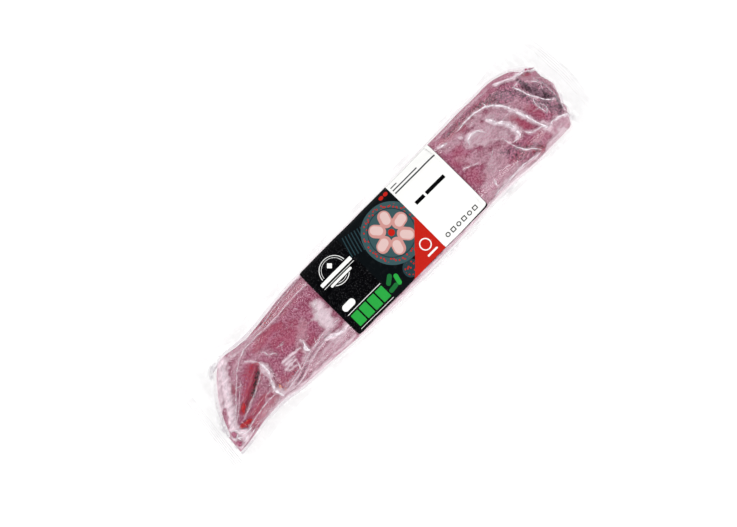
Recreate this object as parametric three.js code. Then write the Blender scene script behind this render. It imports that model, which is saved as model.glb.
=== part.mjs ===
// A raw pork tenderloin sealed in a clear vacuum bag, with a printed label laid across its middle.
// The bag and the meat that fills it are one solid: the film clings to the meat, and beyond it
// the two films meet in a flat margin. Units are millimetres.
// X runs from the thin tail to the thick head, Y across the pack and Z up. The origin is the middle
// of the bag's outline, on the surface that the pack lies on.
import * as THREE from "three";
import { ParametricGeometry } from "three/addons/geometries/ParametricGeometry.js";

const { lerp, smoothstep, clamp, degToRad } = THREE.MathUtils;

// The bag's outline, seen from above.
const BAG_LENGTH = 355;
const BAG_WIDTH = 80;
const FAR_WAIST = 32; // distance of the far edge from the middle line, between the flared ends
const NEAR_WAIST = 36.5;
const NEAR_BULGE = 2.3; // the near edge stands out this much more along the thick half
const BULGE_REACH = 60; // and comes to it over this length before the middle
const FLARE_LENGTH = 62; // over which the edges spread from the waist to a corner
const FLARE_POWER = 1.4; // above 1 leaves the waist more slowly
const TAIL_SLANT = 5.6; // the tail end is cut askew: half of its run along X
const HEAD_BOW = 5; // the head end bows out this much between its corners
const SLANT_REACH = 28; // the slant fades out over this length
const BOW_REACH = 14; // and the bow over this one

// The film and its margin.
const MARGIN_THICKNESS = 1;
const SEAM_HEIGHT = 13; // where the two films meet beside the meat
const END_HEIGHT = 4; // of the margin at both ends, which droops
const DROOP_START = 95; // distance from the middle where the seam begins to sink
const EDGE_DROOP = 1.6; // of a long edge below the seam
const MARGIN_WAVE = 0.9;
const WAVE_LENGTH = 41;
const FILLET = 1.4; // the film leaves the meat this far from its rim

// The meat's form. Each station gives its far and near edge and the height of its crest.
const STATIONS = [
  { x: -177.5, far: 18, near: -30, crest: 6 },
  { x: -166.4, far: -17, near: -31, crest: 11 },
  { x: -159, far: -5.5, near: -30.9, crest: 13.2 },
  { x: -152, far: 4, near: -30, crest: 15 },
  { x: -140, far: 18.4, near: -28, crest: 18 },
  { x: -130, far: 23.6, near: -27.3, crest: 20 },
  { x: -116, far: 22, near: -27.6, crest: 22.3 },
  { x: -106, far: 21.2, near: -29.9, crest: 24 },
  { x: -72, far: 24.9, near: -32.1, crest: 29 },
  { x: -52, far: 25.7, near: -33.6, crest: 30.9 },
  { x: -20, far: 25.8, near: -35.2, crest: 33 },
  { x: 45, far: 26, near: -34.8, crest: 36 },
  { x: 84, far: 26.9, near: -33, crest: 37.2 },
  { x: 100, far: 27.3, near: -33.4, crest: 37.5 },
  { x: 118, far: 27.3, near: -34.8, crest: 37.6 },
  { x: 134, far: 27.1, near: -34.4, crest: 37.5 },
  { x: 146, far: 23, near: -34.2, crest: 36.6 },
  { x: 153, far: 17.4, near: -31.8, crest: 35 },
  { x: 159, far: 12.4, near: -16.5, crest: 33 },
  { x: 162.5, far: 6, near: -9, crest: 31 },
  { x: 168, far: 8, near: -12, crest: 31 },
  { x: 177.5, far: 20, near: -24, crest: 30 },
];
const TAIL_TIP = -166.9;
const HEAD_TIP = 162.5;
const TAIL_ROUNDING = 9;
const HEAD_ROUNDING = 21;
const RIM_ANGLE = degToRad(88); // the film follows the meat's side down to here
const TOP_FULLNESS = 0.62; // power of the cosine and sine: below 1 is fuller than an ellipse
const FLAT_SHARE = 0.62; // of the half width, on which the underside is flat
const SWELL = 0.7; // unevenness of the crest
const SWELL_LENGTH = 58;

// Folds of the film and furrows of the meat, each a curve through three places seen from above.
// A height below zero is a furrow. Width is the half width at its foot.
const FOLDS = {
  headArc: { through: [[92, 18.5], [125, 14], [136.5, -18]], height: 2.2, width: 4 },
  innerArc: { through: [[111, 11], [119.5, -2], [121, -15]], height: 1.9, width: 4.5 },
  lowerLine: { through: [[111, -13], [117, -22], [124, -31]], height: 1.4, width: 3.2 },
  shoulderArc: { through: [[89, 4], [98, 11], [107, 3]], height: 1.4, width: 3.6 },
  headRidge: { through: [[131, 25], [144, 17.5], [158, 14]], height: 2.6, width: 3.6 },
  headHollow: { through: [[147, 12], [150, 0], [157, -9]], height: -3.6, width: 5 },
  hollowEdge: { through: [[141, 12], [146, 1], [156, -13]], height: 1.6, width: 2.8 },
  cornerFold: { through: [[139, -25], [148, -21], [158, -28]], height: 2.4, width: 3.6 },
  farCrease: { through: [[-109, 17], [-80, 16.5], [-56, 18]], height: 1.1, width: 3.4 },
  nearCrease: { through: [[-146, -25], [-100, -24], [-56, -13]], height: 1.7, width: 3.6 },
  nearGutter: { through: [[-112, -27], [-88, -25], [-56, -20]], height: -1.7, width: 3.4 },
  tailRibbon: { through: [[-118, 17], [-135, 4], [-155, -15]], height: 1.7, width: 3.8 },
  tailEdge: { through: [[-130, 22], [-146, 7], [-163, -13]], height: 1.5, width: 3.4 },
  tailCut: { through: [[-115, 2], [-129, -6], [-143, -13]], height: -3, width: 4.4 },
  cutLip: { through: [[-113, -2], [-127, -11], [-146, -18]], height: 1.6, width: 3 },
  tipFold: { through: [[-163, -20], [-157, -17], [-154, -25]], height: 1.4, width: 2.8 },
};
const FOLD_POINTS = 25; // along each fold's curve
const FOLD_FADE = 0.2; // share of its length over which a fold rises at each end
const FOLD_START = 0.25; // share of its height at its very ends
const FOLD_FOOT = 6; // folds flatten out where the meat is lower than this over the seam

// The label. Its long edges lie straight as seen from above.
const LABEL_START = -51.4;
const LABEL_END = 71.8;
const LABEL_FAR = 25;
const LABEL_NEAR = -32.8;
const LABEL_THICKNESS = 0.5;
const LABEL_GAP = 0.35;
const LABEL_CORNER = 3;
const LABEL_HALF = 40; // half its width, measured over the dome

// How finely the surfaces are divided.
const MARGIN_STEPS = 2; // across each long margin
const DOME_STEPS = 22; // across the meat
const ACROSS = DOME_STEPS + 2 * MARGIN_STEPS;
const AROUND = 2 * ACROSS + 2; // top, underside and two upright edges
const ALONG = 86;
const EVEN_SHARE = 0.4; // 1 makes all steps along the bag alike, less makes them finer at its ends
const LABEL_ACROSS = 18;
const LABEL_AROUND = 2 * LABEL_ACROSS + 2;
const LABEL_ALONG = 26;
const CORNER_STEPS = 4; // round each corner of the label

// A smooth curve through the stations' values, level with its neighbours on both sides.
function stationValue(name, x) {
  const last = STATIONS.length - 1;
  let i = STATIONS.findIndex((station) => station.x > x) - 1;
  if (i < 0) i = x <= STATIONS[0].x ? 0 : last - 1;
  const [a, b] = [STATIONS[i], STATIONS[i + 1]];
  const before = STATIONS[Math.max(i - 1, 0)];
  const after = STATIONS[Math.min(i + 2, last)];
  const span = b.x - a.x;
  const slopeA = ((b[name] - before[name]) / (b.x - before.x)) * span;
  const slopeB = ((after[name] - a[name]) / (after.x - a.x)) * span;
  const f = clamp((x - a.x) / span, 0, 1);
  const rise = b[name] - a[name];
  return a[name] + f * (slopeA + f * (3 * rise - 2 * slopeA - slopeB + f * (slopeA + slopeB - 2 * rise)));
}

// One at full height, falling to zero as a quarter ellipse at each end of the meat.
function endRounding(x) {
  const intoTail = clamp((TAIL_TIP + TAIL_ROUNDING - x) / TAIL_ROUNDING, 0, 1);
  const intoHead = clamp((x - HEAD_TIP + HEAD_ROUNDING) / HEAD_ROUNDING, 0, 1);
  return Math.sqrt((1 - intoTail ** 2) * (1 - intoHead ** 2));
}

// Zero along the waist, one at the corners.
function flare(x) {
  const corner = BAG_LENGTH / 2 - TAIL_SLANT;
  return smoothstep(Math.abs(x), BAG_LENGTH / 2 - FLARE_LENGTH, corner) ** FLARE_POWER;
}

// All that the bag's cross section at x needs.
function sectionAt(x) {
  const nearWaist = NEAR_WAIST + NEAR_BULGE * smoothstep(x, -BULGE_REACH, 0);
  const sinking = smoothstep(Math.abs(x), DROOP_START, BAG_LENGTH / 2);
  const swell = SWELL * Math.sin((2 * Math.PI * x) / SWELL_LENGTH);
  const rounding = endRounding(x);
  const seam = lerp(SEAM_HEIGHT, END_HEIGHT, sinking);
  return {
    bagFar: lerp(FAR_WAIST, BAG_WIDTH / 2, flare(x)),
    bagNear: -lerp(nearWaist, BAG_WIDTH / 2, flare(x)),
    far: stationValue("far", x),
    near: stationValue("near", x),
    seam,
    rounding,
    domeHeight: Math.max(stationValue("crest", x) + swell - seam, 0) * rounding,
    droop: EDGE_DROOP * (1 - sinking),
  };
}

const fullPower = (value) => Math.sign(value) * Math.abs(value) ** TOP_FULLNESS;

const foldCurves = Object.values(FOLDS).map(({ through, height, width }) => {
  const curve = new THREE.SplineCurve(through.map(([x, y]) => new THREE.Vector2(x, y)));
  return { points: curve.getPoints(FOLD_POINTS - 1), height, width };
});

// Height of the folds over a place seen from above.
function foldHeight(x, y) {
  let total = 0;
  for (const { points, height, width } of foldCurves) {
    let nearest = Infinity;
    let along = 0;
    points.forEach((point, i) => {
      const distance = Math.hypot(point.x - x, point.y - y);
      if (distance < nearest) {
        nearest = distance;
        along = i / (FOLD_POINTS - 1);
      }
    });
    const fromEnd = Math.min(along, 1 - along) / FOLD_FADE;
    const fade = Math.min(1, FOLD_START + fromEnd * (1 - FOLD_START));
    total += height * fade * Math.exp(-2 * (nearest / width) ** 2);
  }
  return total;
}

// Moves a place near an end of the bag so that the ends are slanted and bowed as cut.
function cutEnd(x, y) {
  const half = BAG_LENGTH / 2;
  const side = y / (BAG_WIDTH / 2);
  const tail = smoothstep(-x, half - SLANT_REACH, half) * TAIL_SLANT * (1 + side);
  const head = smoothstep(x, half - BOW_REACH, half) * HEAD_BOW * side ** 2;
  return x + tail - head;
}

// A place on the meat's rounded top, at an angle from the crest. Negative angles lie on the far side.
// Returns its place across, its height over the seam and the direction that it faces.
function onDome(section, angle) {
  const middle = (section.far + section.near) / 2;
  const half = (section.far - section.near) / 2;
  const y = middle - half * fullPower(Math.sin(angle));
  const rise = section.domeHeight * fullPower(Math.cos(angle));
  const facing = new THREE.Vector3(0, -Math.sin(angle) * section.domeHeight, Math.cos(angle) * half);
  return { y, rise, facing: facing.normalize() };
}

// The angle on the dome at which its place across is y.
function angleAt(section, y) {
  const middle = (section.far + section.near) / 2;
  const half = (section.far - section.near) / 2;
  const off = clamp((middle - y) / half, -1, 1);
  return Math.asin(Math.sign(off) * Math.abs(off) ** (1 / TOP_FULLNESS));
}

// An angle on the dome for a share of the way from the crest to the rim. Equal shares come out about
// equally wide on the dome, because steps are finer where its full form turns an angle into a length.
function domeAngle(share, rim) {
  const away = Math.abs(share) ** (1 / TOP_FULLNESS);
  const left = (1 - Math.abs(share)) ** (1 / TOP_FULLNESS);
  return (Math.sign(share) * rim * away) / (away + left);
}

// Height of the underside as a share of the seam's height: flat in the middle, round at the sides.
function undersideLift(across) {
  const intoRim = clamp((Math.abs(across) - FLAT_SHARE) / (1 - FLAT_SHARE), 0, 1);
  return 1 - Math.sqrt(1 - intoRim ** 2);
}

// A place on the flat margin. inward runs from 0 at the bag's edge to 1 beside the meat.
function marginPoint(x, isFar, inward, face, target) {
  const section = sectionAt(x);
  const edge = isFar ? section.bagFar : section.bagNear;
  const rim = isFar ? section.far + FILLET : section.near - FILLET;
  const y = lerp(edge, rim, inward);
  const wave = MARGIN_WAVE * Math.sin((2 * Math.PI * x) / WAVE_LENGTH);
  const z = section.seam + (wave - section.droop) * (1 - inward) + face;
  return target.set(cutEnd(x, y), y, z);
}

// A place on the bag over or under the meat, at an angle from its crest.
function meatPoint(x, angle, onTop, face, target) {
  const section = sectionAt(x);
  const { y, rise, facing } = onDome(section, angle);
  const placeX = cutEnd(x, y);
  if (onTop) {
    target.set(placeX, y, section.seam + rise + face);
    target.addScaledVector(facing, foldHeight(placeX, y) * Math.min(1, rise / FOLD_FOOT));
    return target.setX(placeX);
  }
  const lift = undersideLift(Math.sin(angle) / Math.sin(RIM_ANGLE));
  const seam = section.seam + face;
  return target.set(placeX, y, lerp(seam, seam * lift, section.rounding));
}

// Stations along the bag: short steps at both ends, long ones under the label.
function stepAlong(v) {
  const s = 2 * v - 1;
  const bent = lerp((s * (3 - s * s)) / 2, s, EVEN_SHARE);
  const labelMiddle = (LABEL_START + LABEL_END) / 2;
  return (BAG_LENGTH / 2) * bent + (labelMiddle / 2) * (1 - bent * bent);
}

// u goes round the bag: over the top from the far edge, then back under. v goes from tail to head.
// Both films meet in a line at the two ends, which closes the surface.
function bagSurface(u, v, target) {
  const step = Math.round(u * AROUND) % AROUND;
  const onTop = step <= ACROSS;
  const fromFar = onTop ? step : AROUND - 1 - step;
  const fromEdge = Math.min(fromFar, ACROSS - fromFar);
  const atEnd = v === 0 || v === 1;
  const face = atEnd ? 0 : (onTop ? 0.5 : -0.5) * MARGIN_THICKNESS;
  const x = stepAlong(v);
  if (fromEdge < MARGIN_STEPS) {
    return marginPoint(x, fromFar < MARGIN_STEPS, fromEdge / MARGIN_STEPS, face, target);
  }
  const share = (2 * (fromFar - MARGIN_STEPS)) / DOME_STEPS - 1;
  return meatPoint(x, domeAngle(share, RIM_ANGLE), onTop, face, target);
}

function makeBag() {
  const film = new THREE.MeshStandardMaterial({ color: 0xb0788c, roughness: 0.22, metalness: 0 });
  const bag = new THREE.Mesh(new ParametricGeometry(bagSurface, AROUND, ALONG), film);
  bag.name = "sealed_bag";
  return bag;
}

// Step k along the label: its place, and how far the rounded corners cut into its width there.
function labelStation(k) {
  const fromEnd = Math.min(k, LABEL_ALONG - k);
  if (fromEnd < CORNER_STEPS) {
    const turn = (Math.PI / 2) * (fromEnd / CORNER_STEPS);
    const along = LABEL_CORNER * (1 - Math.cos(turn));
    const x = k === fromEnd ? LABEL_START + along : LABEL_END - along;
    return { x, inset: LABEL_CORNER * (1 - Math.sin(turn)) };
  }
  const f = (k - CORNER_STEPS) / (LABEL_ALONG - 2 * CORNER_STEPS);
  return { x: lerp(LABEL_START + LABEL_CORNER, LABEL_END - LABEL_CORNER, f), inset: 0 };
}

// u goes over the label's outer face and back under it. The faces meet in a line at its two ends.
function labelSurface(u, v, target) {
  const step = Math.round(u * LABEL_AROUND) % LABEL_AROUND;
  const onTop = step <= LABEL_ACROSS;
  const across = (onTop ? step : LABEL_AROUND - 1 - step) / LABEL_ACROSS;
  const { x, inset } = labelStation(Math.round(v * LABEL_ALONG));
  const section = sectionAt(x);
  const reach = 1 - inset / LABEL_HALF;
  const share = 2 * across - 1;
  const rim = Math.abs(angleAt(section, share < 0 ? LABEL_FAR : LABEL_NEAR));
  const angle = domeAngle(share, RIM_ANGLE) * (rim / RIM_ANGLE) * reach;
  const { y, rise, facing } = onDome(section, angle);
  const atEnd = v === 0 || v === 1;
  const lift = LABEL_GAP + LABEL_THICKNESS * (atEnd ? 0.5 : Number(onTop));
  target.set(x, y, section.seam + rise + MARGIN_THICKNESS / 2).addScaledVector(facing, lift);
}

function makeLabel() {
  const paper = new THREE.MeshStandardMaterial({ color: 0x202224, roughness: 0.4, metalness: 0 });
  const label = new THREE.Mesh(new ParametricGeometry(labelSurface, LABEL_AROUND, LABEL_ALONG), paper);
  label.name = "label";
  return label;
}

const pack = new THREE.Group();
pack.name = "vacuum_packed_pork_tenderloin";
pack.add(makeBag(), makeLabel());

export default pack;
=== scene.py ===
"""A raw pork tenderloin sealed in a clear vacuum bag, with a printed label across its middle.

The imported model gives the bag's outline and the label's ends. The clinging film, the meat inside it,
the juice caught under it, the end seals and the label are modelled here in place of its solids.
Lengths are in millimetres up to the point where a mesh is made, which is in metres.
X runs from the thin tail to the thick head, Y across the pack and Z up.
"""
import math
from collections import namedtuple

import bpy
import numpy as np
from mathutils import Matrix, Vector
from mathutils.bvhtree import BVHTree


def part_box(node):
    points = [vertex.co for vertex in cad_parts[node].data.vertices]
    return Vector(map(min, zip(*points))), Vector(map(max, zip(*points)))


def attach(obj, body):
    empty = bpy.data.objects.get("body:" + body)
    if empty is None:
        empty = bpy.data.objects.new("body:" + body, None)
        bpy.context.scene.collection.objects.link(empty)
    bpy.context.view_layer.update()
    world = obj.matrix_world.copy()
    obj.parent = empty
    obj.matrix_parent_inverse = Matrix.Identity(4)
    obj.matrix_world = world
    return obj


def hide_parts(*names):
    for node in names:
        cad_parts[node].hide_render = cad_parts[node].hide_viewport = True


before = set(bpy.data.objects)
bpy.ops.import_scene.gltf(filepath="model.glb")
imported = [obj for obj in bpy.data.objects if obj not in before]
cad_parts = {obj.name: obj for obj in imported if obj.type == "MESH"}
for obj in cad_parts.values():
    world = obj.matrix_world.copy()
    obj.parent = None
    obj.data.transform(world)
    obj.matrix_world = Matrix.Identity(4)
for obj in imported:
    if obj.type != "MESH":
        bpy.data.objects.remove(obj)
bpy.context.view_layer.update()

MM = 0.001

# The bag and the label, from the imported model
bag_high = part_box("sealed_bag")[1]
HALF_LENGTH = bag_high.x / MM
HALF_WIDTH = bag_high.y / MM
LABEL_START, LABEL_END = [corner.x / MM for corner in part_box("label")]

# The bag's outline and margin, as in the model's source
FAR_WAIST = 32.0
NEAR_WAIST = 36.5
NEAR_BULGE = 2.3
BULGE_REACH = 60.0
FLARE_LENGTH = 62.0
FLARE_POWER = 1.4
TAIL_SLANT = 5.6
HEAD_BOW = 5.0
SLANT_REACH = 28.0
BOW_REACH = 14.0
SEAM_HEIGHT = 13.0
END_HEIGHT = 4.0
DROOP_START = 95.0
EDGE_DROOP = 1.6
MARGIN_WAVE = 0.9
WAVE_LENGTH = 41.0
FILLET = 1.4

# The meat's form, as in the model's source: x, far edge, near edge and height of the crest
STATIONS = np.array([
    (-177.5, 18, -30, 6),
    (-166.4, -17, -31, 11),
    (-159, -5.5, -30.9, 13.2),
    (-152, 4, -30, 15),
    (-140, 18.4, -28, 18),
    (-130, 23.6, -27.3, 20),
    (-116, 22, -27.6, 22.3),
    (-106, 21.2, -29.9, 24),
    (-72, 24.9, -32.1, 29),
    (-52, 25.7, -33.6, 30.9),
    (-20, 25.8, -35.2, 33),
    (45, 26, -34.8, 36),
    (84, 26.9, -33, 37.2),
    (100, 27.3, -33.4, 37.5),
    (118, 27.3, -34.8, 37.6),
    (134, 27.1, -34.4, 37.5),
    (146, 23, -34.2, 36.6),
    (153, 17.4, -31.8, 35),
    (159, 12.4, -16.5, 33),
    (162.5, 6, -9, 31),
    (168, 8, -12, 31),
    (177.5, 20, -24, 30),
])
FAR_EDGE = 1  # columns of the stations
NEAR_EDGE = 2
CREST = 3
TAIL_TIP = -166.9
HEAD_TIP = 162.5
TAIL_ROUNDING = 9.0
HEAD_ROUNDING = 21.0
RIM_ANGLE = math.radians(88)
TOP_FULLNESS = 0.62
FLAT_SHARE = 0.62
SWELL = 0.7
SWELL_LENGTH = 58.0

# The meat's ragged rim at its head: how deep, and from where to where beside the tip it is ragged
RAGGED_RIM = 1.8
RAGGED_RISE = (-16, -4)
RAGGED_FALL = (3, 11)

# Sheets and gaps between them
FILM_THICKNESS = 0.3  # of the two films of the margin together
MEAT_INSET = 0.55  # between the film and the meat
UNDER_GAP = 0.5  # more than that under the meat
LABEL_FAR = 25.0
LABEL_NEAR = -32.8
LABEL_THICKNESS = 0.22
LABEL_GAP = 0.12
LABEL_CORNER = 3.0
SEAL_WIDTH = 9.0

# The photograph's view: from above and a little from the near side, with the pack lying askew
VIEW_MIDDLE = Vector((-13.0, -2.2, 12.0))
VIEW_TILT = math.radians(5)
UP_IN_VIEW = Vector((1, 1, 0))
PHOTO_WIDTH = 737  # pixels
PIXEL = 0.68  # millimetres of the pack
LENS = 135.0
SENSOR = 36.0
VIEW_DISTANCE = PHOTO_WIDTH * PIXEL * LENS / SENSOR

# How bright a level white surface is in the scene's light, where 1 is already white in the picture
WHITE_LEVEL = 1.45

# How finely the surfaces are divided
MARGIN_STEPS = 10
DOME_STEPS = 122
UNDER_STEPS = 56
MEAT_STEPS = 104
END_STEPS = 18
HEAD_STEPS = 100
TAIL_STEPS = 150
LABEL_STEPS = 66
LABEL_ACROSS = 90
TAIL_TURN_STEPS = 16
HEAD_TURN_STEPS = 46
CORNER_STEPS = 9
SEAL_STEPS = 30
PATH_STEP = 0.6  # between points along a crease

# The film's folds and seals
RIDGE_SHARE = 0.6  # of a crease's height that the film itself rises
FILM_BRIDGING = 0.35  # the film goes this share as deep as the meat's furrows
FOLD_FOOT = 6.0  # height above the seam at which folds reach their full height
LEAST_RELIEF = 1.2  # half width in which the film rises towards a crease
CURVE_STEPS = 12  # straight steps between two places of a crease
FADE_SHARE = 0.14  # of a crease's length over which it rises at each end
TAPER = 2.5  # length over which a crease grows wide at each end
RIM_SMOOTHING = 0.8  # how far the film is drawn even at the meat's rim in each round
SMOOTHING_ROUNDS = 14
SIDE_HAZE = 0.28  # of the film down the meat's steep sides
UNDER_LIFT = 0.3  # of the film under the meat
PLEAT_HEIGHT = 0.55
CRUMPLED_END = (145, 157)  # where the crumples at the head begin, and where they are full
SEAL_RIBS = 5
SEAL_RIB_STEP = 1.5
SEAL_RIB_WIDTH = 0.6
SEAL_EDGE = 1.5  # from the bag's cut edge to its first rib
SEAL_SIDE = 3.0  # from the bag's long edges to the ribs' ends
SEAL_HAZE = 0.11
CREASE_CORE = 0.82  # share of a crease's width that is pinched; the rest is milky film beside it
WIDEST_CORE = 2.5
MILK_SHARE = 0.66  # how milky the film beside a crease is, as a share of the crease itself
HIGH_ABOVE = 90.0  # from where places on the film are looked for

# How far what lies along a path is sunk below the film, and how high a share of its width it stands
CREASE_SINK = 0.12
SMALL_CREASE_SINK = 0.08
RIB_SINK = 0.02
SWEPT_SINK = 0.3
BEAD_SINK = 0.1
CREASE_HEIGHT_SHARE = 0.5
JUICE_HEIGHT_SHARE = 0.15

# Beads of juice
BEAD_SPACING = 2.6
LEAST_BEAD = 0.25
GREATEST_BEAD = 0.6

# The small creases: how many, and the ranges of their places across, lengths, widths and haze
SMALL_CREASES = 110
SMALL_CREASE_SIDES = (-34, 27)
SMALL_CREASE_LENGTHS = (2.0, 7.0)
SMALL_CREASE_WIDTHS = (0.35, 0.8)
SMALL_CREASE_HAZE = (0.1, 0.35)
GOLDEN_SHARE = 0.618  # step between their hazes, which spreads them evenly over the range
TURN_SPREAD = 0.35
BEND_SPREAD = 0.05
CROSSWISE_SHARE = 0.2  # of them that are turned further
CROSSWISE_TURN = 1.2
TIP_GAP = 6  # least distance from the meat's tips, its sides and the label
SIDE_GAP = 2
LABEL_DISTANCE = 7

# Seeds of what is random. A path takes the three seeds after its own as well
MILK_AND_SHEEN_SEED = 31
BLOOD_SEED = 61
FAT_SEED = 63
SHADE_SEED = 65
SHRED_SEED = 67
SMALL_CREASE_SEED = 7
PATH_SEEDS = 10
STREWN_PATH_SEED = 1000
SWEPT_PATH_SEED = 2000
SEAL_PATH_SEED = 3000
BEAD_PATH_SEED = 4000
BEAD_SEED = 5

# Smooth random lumps in layers: how strong each is, its sizes along and across, and its seed
SOFT_LUMPS = [(0.34, 24, 15, 11), (0.16, 9, 7, 12)]
END_CRUMPLES = [(0.9, 3.6, 3.2, 13)]
SIDE_PLEATS = [(0.7, 2.6, 14, 21), (0.3, 1.3, 9, 22)]
END_PLEATS = [(0.7, 20, 3.2, 23), (0.3, 12, 1.6, 24)]
SIDE_STREAKS = [(0.26, 18, 4, 33)]
UNDER_WRINKLES = [(0.3, 11, 8, 41)]
RIM_RAGS = [(0.6, 30, 4.4, 51), (0.4, 30, 1.9, 52)]
MEAT_GROOVES = [(0.22, 26, 3.1, 51), (0.1, 7, 1.6, 52)]
MILK_RAGS = [(0.5, 2.0, 1.6, 71)]
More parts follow.
